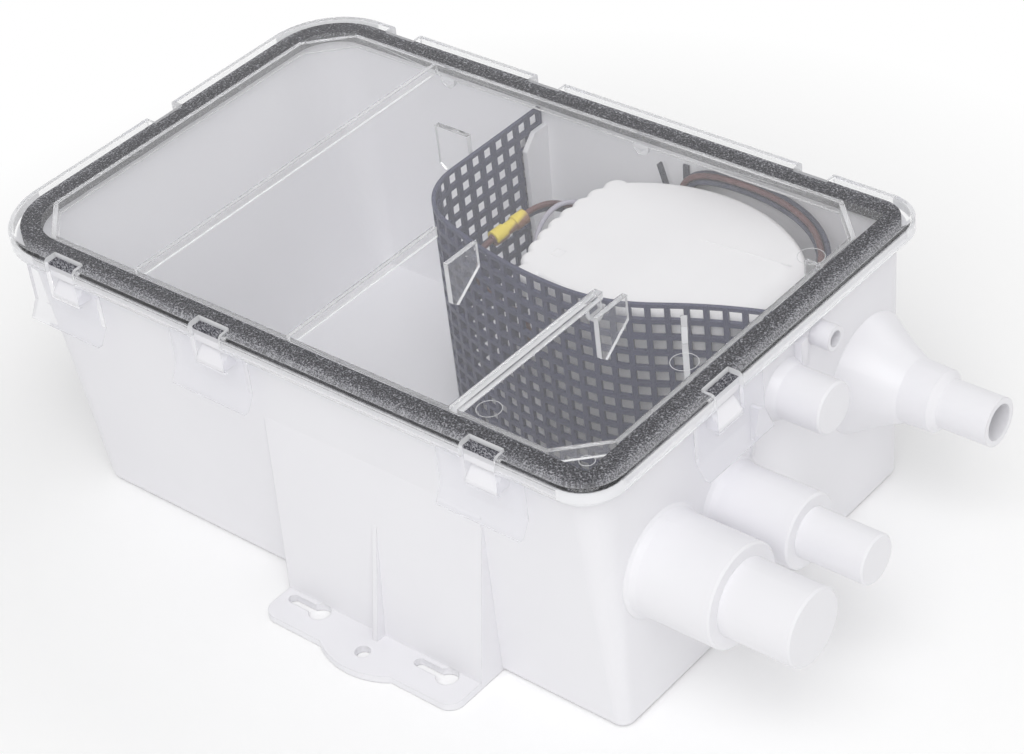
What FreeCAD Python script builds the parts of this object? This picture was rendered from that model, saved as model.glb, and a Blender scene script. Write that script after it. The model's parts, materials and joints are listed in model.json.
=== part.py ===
import FreeCAD, Part
import math
import os

# Shower drain pump: a moulded tub with a clear latched lid, a curved strainer sheet and an automatic
# bilge pump that pushes the collected water out through one hose outlet.
# Millimetres. The origin is on the base plane under the middle of the rim, +Z is up, +X points to the
# end with the hose ports, and the near long side is -Y.

Vec = FreeCAD.Vector
AXIS_X = Vec(1, 0, 0)
AXIS_Y = Vec(0, 1, 0)
AXIS_Z = Vec(0, 0, 1)

# Tub
base_left = 121.8            # from the origin to the left end at the base
base_right = 142.1           # from the origin to the port end at the base
base_half_width = 85.6
base_corner_left = 8.0
base_corner_right = 5.0
base_edge_round = 2.5
top_left = 143.5             # the same sizes just under the rim
top_right = 144.0
top_half_width = 91.8
top_corner_left = 25.0
top_corner_right = 11.0
tub_wall = 2.5
rim_top = 110.0
rim_thick = 3.0
rim_overhang_left = 3.3      # how far the rim stands out over the walls
rim_overhang_right = 2.8
rim_overhang_side = 4.2
rim_corner_left = 28.0
rim_corner_right = 13.5

# Feet, one on each long side
foot_middle = 38.8
foot_length = 94.0
foot_reach = 113.0           # from the middle of the tub to the straight edge of the flange
foot_bulge = 5.2
foot_bulge_length = 35.0
foot_corner = 6.0
foot_thick = 3.0
buttress_proud = 12.0        # how far the buttress stands out at the base
buttress_drop = 32.0         # from the rim down to the buttress's top
buttress_flare = 4.6         # how much longer each end is at the top
pocket_wall = 2.4
foot_fin_thick = 2.2
foot_fin_proud = 4.6
foot_fin_height = 52.0
foot_hole_radius = 3.0
foot_hole_edge = 4.5         # from the flange's straight edge to the hole's middle
keyhole_edge = 11.7          # the same for the keyholes
keyhole_head_radius = 4.3
keyhole_neck_width = 4.2
keyhole_neck_length = 13.2
keyhole_spacing = 62.6

# Hose ports on the port end: drops are from the rim, lengths from the wall's foot
port_wall = 2.5
root_flare = 2.0
port_a_y = -60.2
port_a_drop = 49.0
port_a_collar = 19.5
port_a_nozzle = 14.5
port_a_nozzle_length = 28.5
port_b_y = -20.9
port_b_drop = 49.0
port_b_collar = 14.2
port_b_nozzle = 9.4
port_b_nozzle_length = 27.0
port_collar_length = 34.9
port_c_y = 12.6
port_c_drop = 23.0
port_c_radius = 10.0
port_c_length = 22.9
port_c_flare = 3.7           # how far its soft root runs out, past the lug above it
cable_port_y = 33.0
cable_port_drop = 11.0
cable_port_radius = 4.8
cable_port_bore = 3.1
cable_port_length = 9.9
outlet_offset_y = 22.5       # from the pump's middle
outlet_drop = 40.0           # from the pump's top
outlet_radius = 9.4
outlet_bore = 7.0
outlet_length = 56.9
outlet_cone_radius = 24.0
outlet_cone_length = 21.9
outlet_neck_radius = 12.0
outlet_neck_length = 12.0
outlet_inner_length = 11.1

# Small forms on the port end
lug_y = 21.5
lug_drop = 6.5
lug_width = 4.0
lug_height = 11.0
lug_proud = 3.2
gusset_y = -7.0
gusset_drop = 17.0
gusset_height = 23.0
gusset_proud = 4.0
gusset_thick = 1.8

# Lid
gasket_thick = 4.0
gasket_setback_end = 1.8     # from the rim's edge to the gasket
gasket_setback_side = 1.9
gasket_band = 7.6
gasket_corner_left = 27.0
gasket_corner_right = 12.0
gasket_inner_corner_left = 20.0
gasket_inner_corner_right = 1.5
lid_thick = 2.5
lid_overhang_end = 3.2       # how far the lid stands out over the rim
lid_overhang_side = 2.8
lid_corner_left = 32.0
lid_corner_right = 16.0
lid_shoulder = 2.0
skirt_wall = 1.9
skirt_gap = 0.3              # between the skirt and the top of the rim
frame_clearance = 0.5        # between the gasket and the locating frame
frame_thick = 1.8
frame_depth = 5.0
frame_chamfer = 17.0
cross_rib_depth = 4.0
cross_rib_thick = 1.8
cross_rib_1_gap = 50.0       # from the strainer sheet to the first rib
cross_rib_2_offset = -77.5   # from the pump's middle
cross_rib_3_offset = -0.8
cross_rib_3_thick = 3.6
cross_rib_end_offset = -46.5
hook_drop = 10.5
hook_length = 7.0
fin_thick = 2.2
fin_length = 16.5
fin_short_drop = 10.5
fin_long_drop = 17.5
fin_tip_drop = 19.7
fin_tip_inset = 3.0
tab_radius = 3.6
tab_thick = 1.8
tab_drop = 9.5
tab_places_x = (-70.0, 28.0)
end_tab_offset = 6.5         # from the pump's middle line to the tab over its nose

# Snap latches
latch_centres = (-102.5, -26.5, 100.5)
port_latch_y = -25.5
left_latch_y = 0.0
latch_width = 37.0
notch_width = 15.0
latch_drop = 22.0            # from the rim to the lower edge of the bars
latch_bar_height = 11.3
latch_bar_flare = 3.6
catch_clearance = 0.5
catch_overlap = 1.5
catch_height = 7.2
catch_side_gap = 0.7

# Strainer sheet: it leaves the far wall, bends round the pump and ends on the port wall
sheet_thick = 1.6
sheet_drop = 2.5             # from the rim
sheet_offset_x = -105.0      # from the pump's middle to the straight stretch at the far wall
sheet_offset_y = -5.5        # from the pump's middle to where the bend starts
sheet_bend_radius = 30.0
sheet_bend_turn = 70.0
sheet_sweep_radius = 190.0
sheet_sweep_turn = 20.0
sheet_rise_radius = 70.0
sheet_rise_turn = 31.0
sheet_fall_radius = 190.0
sheet_fall_turn = 12.0
sheet_clearance = 0.3
hole_pitch = 7.0
hole_size = 4.9
hole_top_band = 1.5
hole_end_band = 2.4
guide_thick = 2.2
guide_depth = 8.0
guide_drop = 10.0
guide_chamfer = 6.0
guide_gap = 0.25

# Pump, an egg-shaped housing: the tail is the end with the grip lobes, the nose has the outlet
pump_end_gap = 12.6          # between the nose and the port wall at the base
pump_side_gap = 0.0          # between the far flank and the far wall, before the pump is turned
bundle_reach = 47.6          # from the pump's middle to the far side of its leads
pump_turn = 6.0
pump_tail_reach = 56.5
pump_nose_reach = 48.0
pump_far_width = 43.5
pump_near_width = 37.0
pump_widest = -12.0          # where the sides are furthest apart, from the middle towards the nose
nose_radius = 30.0
tail_radius = 90.0
tail_corner_far = 16.0
tail_corner_near = 9.0
pump_drop = 9.0              # from the rim to the pump's top
cover_height = 9.0
cover_round = 2.5
shoulder_radius = 18.0
body_inset = 1.0             # the cover stands this far over the body
lobe_radius = 5.4
lobe_proud = 1.3
lobe_pitch = 7.6
lobe_count = 9
strainer_foot_height = 11.0
strainer_foot_inset = 4.0
strainer_foot_wall = 2.0
strainer_slot_width = 2.6
strainer_slot_pitch = 8.0
volute_plate_thick = 2.4
inlet_eye_radius = 9.0
motor_offset_x = 4.0         # from the pump's middle
motor_offset_y = -3.5
motor_radius = 23.2
motor_headroom = 5.1
motor_boss_radius = 8.0
motor_boss_height = 3.0
motor_clearance = 0.3
volute_radius = 25.0
volute_height = 13.0
volute_web = 3.0
shaft_radius = 2.0
shaft_clearance = 0.05
seal_radius = 5.0
impeller_radius = 20.0
impeller_disc = 2.0
impeller_hub_radius = 5.0
impeller_gap = 1.2
vane_count = 5
vane_thick = 1.6
riser_offset_x = 28.0
riser_radius = 6.5
channel_radius = 5.0
spigot_gap = 2.5             # between the pump's spigot and the outlet's inner end
spigot_recess_offset_x = 38.5
spigot_recess_radius = 14.6

# Float switch inside the pump
float_chamber_offset_x = (-46.0, -25.0)
float_chamber_offset_y = (-21.5, 18.5)
float_chamber_height = 45.0
float_pin_radius = 1.5
float_pin_clearance = 0.08
float_pin_inset = 4.5
float_hub_radius = 3.6
float_height = 10.0
float_length = 27.0
float_gap = 1.5
float_arm_width = 5.0

# Short hose between pump and outlet, with two clamps
hose_wall = 2.6
hose_fit = 0.05
hose_end_gap = 1.0
clamp_width = 6.0
clamp_thick = 0.8
clamp_screw_length = 9.0
clamp_screw_radius = 3.0

# Leads
wire_radius = 1.2
thin_wire_radius = 1.0
bundle_step = 2.6
lead_boss_offset_x = (-40.0, -25.0)
lead_boss_offset_y = (28.5, 44.8)
lead_boss_offset_z = (-37.0, -21.0)
side_boss_offset_x = (-59.0, -37.0)
side_boss_offset_y = (-30.5, -16.5)
side_boss_offset_z = (-55.0, -43.0)
connector_radius = 3.1
connector_waist = 2.5
tie_width = 2.6
tie_thick = 0.8
tie_fit = 0.1
tie_tail_rise = 3.0          # from the pump's top to the ends of the ties


# Places that follow from the sizes
def wall_half_width(z):
    return base_half_width + (top_half_width - base_half_width) * z / (rim_top - rim_thick)


def port_wall_x(z):
    return base_right + (top_right - base_right) * z / (rim_top - rim_thick)


def left_wall_x(z):
    return -base_left - (top_left - base_left) * z / (rim_top - rim_thick)


def offset_pair(middle, offsets):
    return middle + offsets[0], middle + offsets[1]


tub_floor = tub_wall
rim_left = top_left + rim_overhang_left
rim_right = top_right + rim_overhang_right
rim_half_width = top_half_width + rim_overhang_side
gasket_left = rim_left - gasket_setback_end
gasket_right = rim_right - gasket_setback_end
gasket_half_width = rim_half_width - gasket_setback_side
lid_left = rim_left + lid_overhang_end
lid_right = rim_right + lid_overhang_end
lid_half_width = rim_half_width + lid_overhang_side
lid_under = rim_top + gasket_thick
lid_top = lid_under + lid_thick
skirt_bottom = rim_top + skirt_gap
frame_left = gasket_left - gasket_band - frame_clearance
frame_right = gasket_right - gasket_band - frame_clearance
frame_half_width = gasket_half_width - gasket_band - frame_clearance
latch_bottom = rim_top - latch_drop
sheet_top = rim_top - sheet_drop
guide_top = rim_top - guide_drop
buttress_height = rim_top - buttress_drop
foot_hole_reach = foot_reach - foot_hole_edge
keyhole_reach = foot_reach - keyhole_edge
port_a_z = rim_top - port_a_drop
port_b_z = rim_top - port_b_drop
port_c_z = rim_top - port_c_drop
cable_port_z = rim_top - cable_port_drop
lug_top = rim_top - lug_drop
gusset_top = rim_top - gusset_drop
port_step_x = base_right + port_collar_length
port_a_end_x = port_step_x + port_a_nozzle_length
port_b_end_x = port_step_x + port_b_nozzle_length
port_c_end_x = base_right + port_c_length
cable_port_end_x = base_right + cable_port_length
outlet_end_x = base_right + outlet_length
outlet_cone_end_x = base_right + outlet_cone_length
outlet_neck_end_x = outlet_cone_end_x + outlet_neck_length
outlet_inner_x = base_right - outlet_inner_length

foot_plate_top = tub_floor + strainer_foot_height
body_bottom = foot_plate_top + volute_plate_thick
pump_top = rim_top - pump_drop
body_top = pump_top - cover_height
pump_x = base_right - tub_wall - pump_end_gap - pump_nose_reach
pump_far_room = wall_half_width(body_bottom) - pump_far_width + body_inset - pump_side_gap
pump_y = min(pump_far_room, wall_half_width(sheet_top) - bundle_reach) - tub_wall
outlet_y = pump_y + outlet_offset_y
outlet_z = pump_top - outlet_drop
volute_top = body_bottom + volute_height
motor_seat = volute_top + volute_web
motor_x = pump_x + motor_offset_x
motor_y = pump_y + motor_offset_y
motor_height = body_top - motor_seat - motor_boss_height - motor_headroom
riser_x = pump_x + riser_offset_x
spigot_recess_x = pump_x + spigot_recess_offset_x
spigot_end_x = outlet_inner_x - spigot_gap
float_chamber_x = offset_pair(pump_x, float_chamber_offset_x)
float_chamber_y = offset_pair(pump_y, float_chamber_offset_y)
lead_boss_x = offset_pair(pump_x, lead_boss_offset_x)
lead_boss_y = offset_pair(pump_y, lead_boss_offset_y)
lead_boss_z = offset_pair(pump_top, lead_boss_offset_z)
side_boss_x = offset_pair(pump_x, side_boss_offset_x)
side_boss_y = offset_pair(pump_y, side_boss_offset_y)
side_boss_z = offset_pair(pump_top, side_boss_offset_z)
sheet_x = pump_x + sheet_offset_x
sheet_bend_y = pump_y + sheet_offset_y
cross_rib_1_x = sheet_x - cross_rib_1_gap
cross_rib_2_x = pump_x + cross_rib_2_offset
cross_rib_3_x = pump_x + cross_rib_3_offset
cross_rib_end_y = pump_y + cross_rib_end_offset


# Outlines and plain solids
def rounded_outline(left, right, half_width, corner_left, corner_right, z):
    """A closed wire: a rectangle whose left and right corners have their own radii."""
    edges = []
    corners = (
        (right - corner_right, -half_width + corner_right, corner_right, -90),
        (right - corner_right, half_width - corner_right, corner_right, 0),
        (left + corner_left, half_width - corner_left, corner_left, 90),
        (left + corner_left, -half_width + corner_left, corner_left, 180),
    )
    arcs = []
    for x, y, radius, start in corners:
        circle = Part.Circle(Vec(x, y, z), AXIS_Z, radius)
        arcs.append(circle.toShape(math.radians(start), math.radians(start + 90)))
    for arc, following in zip(arcs, arcs[1:] + arcs[:1]):
        edges.append(arc)
        edges.append(Part.makeLine(arc.Vertexes[-1].Point, following.Vertexes[0].Point))
    return Part.Wire(edges)


def raised(wire, height):
    return Part.Face(wire).extrude(Vec(0, 0, height))


def polygon_face(points):
    return Part.Face(Part.makePolygon(points + points[:1]))


def turned(profile, y, z):
    """Revolves (x, radius) points about the X direction through (y, z)."""
    points = [Vec(x, y, z + radius) for x, radius in profile]
    return polygon_face(points).revolve(Vec(0, y, z), AXIS_X, 360)


def rod_x(x0, x1, y, z, radius):
    return Part.makeCylinder(radius, x1 - x0, Vec(x0, y, z), AXIS_X)


def box_between(x, y, z):
    return Part.makeBox(x[1] - x[0], y[1] - y[0], z[1] - z[0], Vec(x[0], y[0], z[0]))


def mirrored_pair(shape):
    """The shape and its mirror copy on the other long side."""
    return [shape, shape.mirror(Vec(0, 0, 0), AXIS_Y)]


def one_solid(shape):
    shape = shape.removeSplitter()
    return shape.Solids[0] if len(shape.Solids) == 1 else shape


# Tub
def tub_outline(z, inset):
    """The outer outline of the tub at a height, moved in by inset."""
    share = z / (rim_top - rim_thick)

    def between(low, high):
        return low + (high - low) * share

    corner_left = between(base_corner_left, top_corner_left)
    corner_right = between(base_corner_right, top_corner_right)
    return rounded_outline(
        -between(base_left, top_left) + inset,
        between(base_right, top_right) - inset,
        between(base_half_width, top_half_width) - inset,
        max(corner_left - inset, 1.0),
        max(corner_right - inset, 1.0),
        z,
    )


def tub_cavity(inset, bottom, top):
    return Part.makeLoft([tub_outline(bottom, inset), tub_outline(top, inset)], True, True)


def tub_shell_outer():
    body = tub_cavity(0, 0, rim_top - rim_thick)
    low_edges = [e for e in body.Edges if all(abs(v.Z) < 0.01 for v in e.Vertexes)]
    body = body.makeFillet(base_edge_round, low_edges)
    rim = raised(
        rounded_outline(
            -rim_left, rim_right, rim_half_width, rim_corner_left, rim_corner_right,
            rim_top - rim_thick,
        ),
        rim_thick,
    )
    return body.fuse(rim)


def foot_flange():
    left = foot_middle - foot_length / 2
    right = foot_middle + foot_length / 2
    inside = -base_half_width + tub_wall
    outside = -foot_reach
    turn = foot_corner * (1 - math.sqrt(0.5))
    start = Vec(foot_middle - foot_bulge_length / 2, outside, 0)
    end = Vec(foot_middle + foot_bulge_length / 2, outside, 0)
    corner_1 = (Vec(left, outside + foot_corner, 0), Vec(left + turn, outside + turn, 0),
                Vec(left + foot_corner, outside, 0))
    corner_2 = (Vec(right - foot_corner, outside, 0), Vec(right - turn, outside + turn, 0),
                Vec(right, outside + foot_corner, 0))
    edges = [
        Part.makeLine(Vec(left, inside, 0), corner_1[0]),
        Part.Arc(*corner_1).toShape(),
        Part.makeLine(corner_1[2], start),
        Part.Arc(start, Vec(foot_middle, outside - foot_bulge, 0), end).toShape(),
        Part.makeLine(end, corner_2[0]),
        Part.Arc(*corner_2).toShape(),
        Part.makeLine(corner_2[2], Vec(right, inside, 0)),
        Part.makeLine(Vec(right, inside, 0), Vec(left, inside, 0)),
    ]
    return raised(Part.Wire(edges), foot_thick)


def buttress():
    """The drafted block that carries the flange, hollow from below."""
    inside = -base_half_width + 1

    def section(z, flare, outside, inset):
        left = foot_middle - foot_length / 2 - flare + inset
        right = foot_middle + foot_length / 2 + flare - inset
        points = [Vec(left, outside + inset, z), Vec(right, outside + inset, z),
                  Vec(right, inside - inset, z), Vec(left, inside - inset, z)]
        return Part.makePolygon(points + points[:1])

    top_y = -wall_half_width(buttress_height)
    outer_y = -base_half_width - buttress_proud
    block = Part.makeLoft(
        [section(0, 0, outer_y, 0), section(buttress_height, buttress_flare, top_y, 0)], True, True
    )
    return block


def buttress_pockets():
    """Two tapered hollows under the block, one on each side of the middle web."""
    outer_y = -base_half_width - buttress_proud + pocket_wall
    inner_y = -base_half_width - pocket_wall
    half = foot_length / 2 - pocket_wall
    height = buttress_height * 0.62
    tools = []
    for side in (-1, 1):
        near = foot_middle + side * pocket_wall
        far = foot_middle + side * half
        low = [Vec(near, outer_y, 0), Vec(far, outer_y, 0), Vec(far, inner_y, 0), Vec(near, inner_y, 0)]
        top_outer = outer_y + (buttress_proud - pocket_wall) * 0.5
        top_inner = inner_y - wall_half_width(height) + base_half_width
        high = [Vec(near, top_outer, height), Vec(far, top_outer, height),
                Vec(far, top_inner, height), Vec(near, top_inner, height)]
        wires = [Part.makePolygon(ring + ring[:1]) for ring in (low, high)]
        tools.append(Part.makeLoft(wires, True, True))
    return tools


def foot_fin():
    face_y = -base_half_width - buttress_proud
    x = foot_middle - foot_fin_thick / 2
    lean = (base_half_width + buttress_proud - wall_half_width(buttress_height)) / buttress_height
    points = [
        Vec(x, face_y + 1, 0),
        Vec(x, face_y - foot_fin_proud, 0),
        Vec(x, face_y + lean * foot_fin_height, foot_fin_height),
        Vec(x, face_y + lean * foot_fin_height + 1, foot_fin_height),
    ]
    return polygon_face(points).extrude(Vec(foot_fin_thick, 0, 0))


def foot_holes():
    tools = [Part.makeCylinder(foot_hole_radius, foot_thick, Vec(foot_middle, -foot_hole_reach, 0))]
    for side in (-1, 1):
        head = foot_middle + side * keyhole_spacing / 2 + keyhole_neck_length / 4
        half = keyhole_neck_width / 2
        tools.append(
            Part.makeCylinder(keyhole_head_radius, foot_thick, Vec(head, -keyhole_reach, 0))
        )
        tools.append(
            Part.makeCylinder(half, foot_thick, Vec(head - keyhole_neck_length, -keyhole_reach, 0))
        )
        tools.append(
            box_between(
                (head - keyhole_neck_length, head),
                (-keyhole_reach - half, -keyhole_reach + half),
                (0, foot_thick),
            )
        )
    return tools


def stepped_port(y, z, collar, nozzle, end_x):
    """A closed collar and nozzle, meant to be cut open where a hose is wanted."""
    wall = port_wall_x(z)
    inside = wall - tub_wall
    return turned(
        [(inside, 0), (inside, collar + root_flare), (wall, collar + root_flare),
         (wall + 0.6 * root_flare, collar + 0.3 * root_flare), (wall + 2 * root_flare, collar),
         (port_step_x - 0.8, collar), (port_step_x, collar - 0.8), (port_step_x, nozzle),
         (end_x - 0.8, nozzle), (end_x, nozzle - 0.8), (end_x, 0)],
        y, z,
    )


def stepped_port_bore(y, z, collar, nozzle, end_x):
    inside = port_wall_x(z) - tub_wall - 5
    return turned(
        [(inside, 0), (inside, collar - port_wall), (port_step_x - port_wall, collar - port_wall),
         (port_step_x - port_wall, nozzle - port_wall), (end_x - port_wall, nozzle - port_wall),
         (end_x - port_wall, 0)],
        y, z,
    )


def small_port():
    wall = port_wall_x(port_c_z)
    return turned(
        [(wall - tub_wall, 0), (wall - tub_wall, port_c_radius + root_flare),
         (wall, port_c_radius + root_flare), (wall + port_c_flare, port_c_radius),
         (port_c_end_x - 0.8, port_c_radius), (port_c_end_x, port_c_radius - 0.8), (port_c_end_x, 0)],
        port_c_y, port_c_z,
    )


def outlet_spout():
    """The open outlet: a flared root, a neck and the nozzle for the hose."""
    wall = port_wall_x(outlet_z)
    middle_x = (wall + outlet_cone_end_x) / 2
    middle_r = outlet_neck_radius + (outlet_cone_radius - outlet_neck_radius) * 0.47

    def at(x, radius):
        return Vec(x, outlet_y, outlet_z + radius)

    start = wall - 3 * tub_wall
    step = outlet_neck_radius - outlet_radius
    edges = [
        Part.makeLine(at(start, 0), at(start, outlet_cone_radius)),
        Part.makeLine(at(start, outlet_cone_radius), at(wall, outlet_cone_radius)),
        Part.Arc(at(wall, outlet_cone_radius), at(middle_x, middle_r),
                 at(outlet_cone_end_x, outlet_neck_radius + 0.6)).toShape(),
        Part.makeLine(at(outlet_cone_end_x, outlet_neck_radius + 0.6),
                      at(outlet_neck_end_x, outlet_neck_radius)),
        Part.makeLine(at(outlet_neck_end_x, outlet_neck_radius),
                      at(outlet_neck_end_x + step, outlet_radius)),
        Part.makeLine(at(outlet_neck_end_x + step, outlet_radius), at(outlet_end_x, outlet_radius)),
        Part.makeLine(at(outlet_end_x, outlet_radius), at(outlet_end_x, 0)),
        Part.makeLine(at(outlet_end_x, 0), at(start, 0)),
    ]
    face = Part.Face(Part.Wire(edges))
    return face.revolve(Vec(0, outlet_y, outlet_z), AXIS_X, 360)


def end_lug():
    wall = port_wall_x(lug_top)
    y = (lug_y - lug_width / 2, lug_y + lug_width / 2)
    return box_between((wall - tub_wall, wall + lug_proud), y, (lug_top - lug_height, lug_top))


def end_gusset():
    wall = port_wall_x(gusset_top)
    y = gusset_y - gusset_thick / 2
    low = gusset_top - gusset_height
    points = [Vec(wall - 1, y, gusset_top), Vec(wall + gusset_proud, y, gusset_top),
              Vec(wall - 0.2, y, low), Vec(wall - 1, y, low)]
    return polygon_face(points).extrude(Vec(0, gusset_thick, 0))


# A latch and its catch are drawn on the near side at x = 0 and then turned to their place
def turned_to_side(shape, side, centre):
    angle = {"near": 0, "port": 90, "far": 180, "left": -90}[side]
    shape = shape.copy()
    shape.rotate(Vec(0, 0, 0), AXIS_Z, angle)
    along = AXIS_X if side in ("near", "far") else AXIS_Y
    shape.translate(along * centre)
    return shape


def side_reach(side):
    """From the origin to the outer face of the lid's skirt."""
    return {"near": lid_half_width, "far": lid_half_width, "port": lid_right, "left": lid_left}[side]


def latch_places():
    places = []
    for side in ("near", "far"):
        for name, x in zip(("left", "middle", "right"), latch_centres):
            places.append(("latch_%s_%s" % (side, name), side, x))
    places.append(("latch_port_end", "port", port_latch_y))
    places.append(("latch_left_end", "left", left_latch_y))
    return places


def latch(side):
    """Two spring legs under the skirt and the bar that hooks under the catch."""
    outer = side_reach(side)
    inner = outer - skirt_wall
    bar_top = latch_bottom + latch_bar_height
    half = latch_width / 2
    legs = []
    for x0 in (-half, notch_width / 2):
        legs.append(box_between((x0, x0 + half - notch_width / 2), (-outer, -inner),
                                (bar_top - 0.5, skirt_bottom)))
    bend = bar_top - 0.4 * latch_bar_height
    points = [
        Vec(-half, -inner, bar_top),
        Vec(-half, -outer, bar_top),
        Vec(-half, -outer, bend),
        Vec(-half, -outer - latch_bar_flare, latch_bottom),
        Vec(-half, -outer - latch_bar_flare + skirt_wall, latch_bottom),
        Vec(-half, -inner, bend - 1),
    ]
    bar = polygon_face(points).extrude(Vec(latch_width, 0, 0))
    return one_solid(bar.multiFuse(legs))


def catch(side):
    """The wedge on the tub that the latch bar snaps under."""
    under = latch_bottom + latch_bar_height + catch_clearance
    tip = side_reach(side) - skirt_wall + catch_overlap
    wall = {"near": wall_half_width(under), "far": wall_half_width(under),
            "port": port_wall_x(under), "left": -left_wall_x(under)}[side]
    root = wall - tub_wall / 2
    half = notch_width / 2 - catch_side_gap
    points = [
        Vec(-half, -root, under),
        Vec(-half, -tip, under),
        Vec(-half, -tip, under + 1.4),
        Vec(-half, -wall - 1.5, under + catch_height),
        Vec(-half, -root, under + catch_height),
    ]
    return polygon_face(points).extrude(Vec(2 * half, 0, 0))


def lid_notch(side):
    outer = side_reach(side)
    band_edge = {"near": gasket_half_width, "far": gasket_half_width,
                 "port": gasket_right, "left": gasket_left}[side]
    depth = outer - band_edge + 1.2
    return box_between((-notch_width / 2, notch_width / 2), (-outer - 1, -outer + depth),
                       (skirt_bottom - 1, lid_top + 1))


# Strainer sheet
def sheet_path():
    """Stretches of the sheet's middle line in plan: (start, heading in degrees, length, turn)."""
    far_end = wall_half_width(sheet_top)
    straight = far_end - sheet_bend_y
    stretches = [(straight, 0), (math.radians(sheet_bend_turn) * sheet_bend_radius, sheet_bend_turn),
                 (math.radians(sheet_sweep_turn) * sheet_sweep_radius, sheet_sweep_turn),
                 (math.radians(sheet_rise_turn) * sheet_rise_radius, sheet_rise_turn),
                 (math.radians(sheet_fall_turn) * sheet_fall_radius, -sheet_fall_turn)]
    place = Vec(sheet_x, far_end, 0)
    heading = -90.0
    path = []
    for length, turn in stretches:
        path.append((place, heading, length, turn))
        place, heading = along_stretch(path[-1], length)
    reach = (port_wall_x(sheet_top) - place.x) / math.cos(math.radians(heading))
    path.append((place, heading, reach, 0))
    return path


def along_stretch(stretch, distance):
    """The point and heading at a distance along one stretch."""
    place, heading, length, turn = stretch
    start = math.radians(heading)
    if turn == 0:
        return place + Vec(math.cos(start), math.sin(start), 0) * distance, heading
    radius = length / math.radians(turn)
    end = start + math.radians(turn) * distance / length
    centre = place + Vec(-math.sin(start), math.cos(start), 0) * radius
    return centre + Vec(math.sin(end), -math.cos(end), 0) * radius, math.degrees(end)


def sheet_side(offset):
    """Edges of the middle line moved sideways by offset."""
    edges = []
    for stretch in sheet_path():
        points = []
        for share in (0, 0.5, 1):
            place, heading = along_stretch(stretch, stretch[2] * share)
            angle = math.radians(heading)
            points.append(place + Vec(-math.sin(angle), math.cos(angle), 0) * offset)
        if stretch[3] == 0:
            edges.append(Part.makeLine(points[0], points[2]))
        else:
            edges.append(Part.Arc(*points).toShape())
    return edges


def sheet_band(half_thick):
    """The plan shape of the sheet, or of the gap that a guide keeps for it."""
    left = sheet_side(half_thick)
    right = sheet_side(-half_thick)
    caps = [Part.makeLine(left[0].Vertexes[0].Point, right[0].Vertexes[0].Point),
            Part.makeLine(left[-1].Vertexes[-1].Point, right[-1].Vertexes[-1].Point)]
    ordered = Part.sortEdges(left + right + caps)[0]
    return Part.Face(Part.Wire(ordered))


def sheet_holes():
    """Square holes on a grid that follows the sheet and leaves a whole band along its edges."""
    path = sheet_path()
    total = sum(stretch[2] for stretch in path)
    margin = tub_wall + sheet_clearance + hole_end_band + hole_size / 2
    columns = int((total - 2 * margin) / hole_pitch) + 1
    rows = int((sheet_top - tub_floor - 2 * hole_top_band - hole_size) / hole_pitch) + 1
    top_row = sheet_top - hole_top_band - hole_size
    tools = []
    for row in range(rows):
        z = top_row - row * hole_pitch
        first = margin + wall_half_width(sheet_top) - wall_half_width(z)
        last = total - margin - port_wall_x(sheet_top) + port_wall_x(z)
        for column in range(columns):
            distance = margin + column * hole_pitch
            if not first - hole_end_band / 2 <= distance <= last:
                continue
            for stretch in path:
                if distance <= stretch[2]:
                    break
                distance -= stretch[2]
            place, heading = along_stretch(stretch, distance)
            tool = Part.makeBox(hole_size, 6, hole_size, Vec(-hole_size / 2, -3, 0))
            tool.rotate(Vec(0, 0, 0), AXIS_Z, heading)
            tool.translate(place + Vec(0, 0, z))
            tools.append(tool)
    return tools


def strainer_sheet():
    sheet = sheet_band(sheet_thick / 2)
    sheet.translate(Vec(0, 0, tub_floor))
    sheet = sheet.extrude(Vec(0, 0, sheet_top - tub_floor))
    sheet = sheet.common(tub_cavity(tub_wall + sheet_clearance, tub_floor, sheet_top))
    return one_solid(sheet.cut(Part.makeCompound(sheet_holes())))


def sheet_guides():
    """A pair of ribs on the far wall and one on the port wall, with a slot for the sheet's edge."""
    half = sheet_thick / 2 + guide_gap + guide_thick
    far = wall_half_width(0) - tub_wall - guide_depth
    far_rib = box_between((sheet_x - half, sheet_x + half), (far, far + guide_depth * 3),
                          (tub_floor, guide_top))
    cut_point = [Vec(sheet_x - half, far, guide_top - guide_chamfer), Vec(sheet_x - half, far, guide_top),
                 Vec(sheet_x - half, far + guide_chamfer, guide_top)]
    far_rib = far_rib.cut(polygon_face(cut_point).extrude(Vec(2 * half, 0, 0)))
    place, heading = along_stretch(sheet_path()[-1], sheet_path()[-1][2])
    port_rib = box_between((-3 * guide_depth, guide_depth), (-half, half), (tub_floor, guide_top))
    port_rib.rotate(Vec(0, 0, 0), AXIS_Z, heading)
    port_rib.translate(Vec(place.x, place.y, 0))
    port_zone = box_between((port_wall_x(0) - tub_wall - guide_depth, port_wall_x(0) + guide_depth),
                            (-base_half_width, base_half_width), (tub_floor, guide_top))
    port_rib = port_rib.common(port_zone)
    ribs = far_rib.fuse(port_rib)
    slot = sheet_band(sheet_thick / 2 + guide_gap).extrude(Vec(0, 0, sheet_top))
    room = tub_cavity(tub_wall / 2, tub_floor, guide_top)
    return ribs.common(room).cut(slot.common(tub_cavity(tub_wall, tub_floor, sheet_top)))


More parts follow.
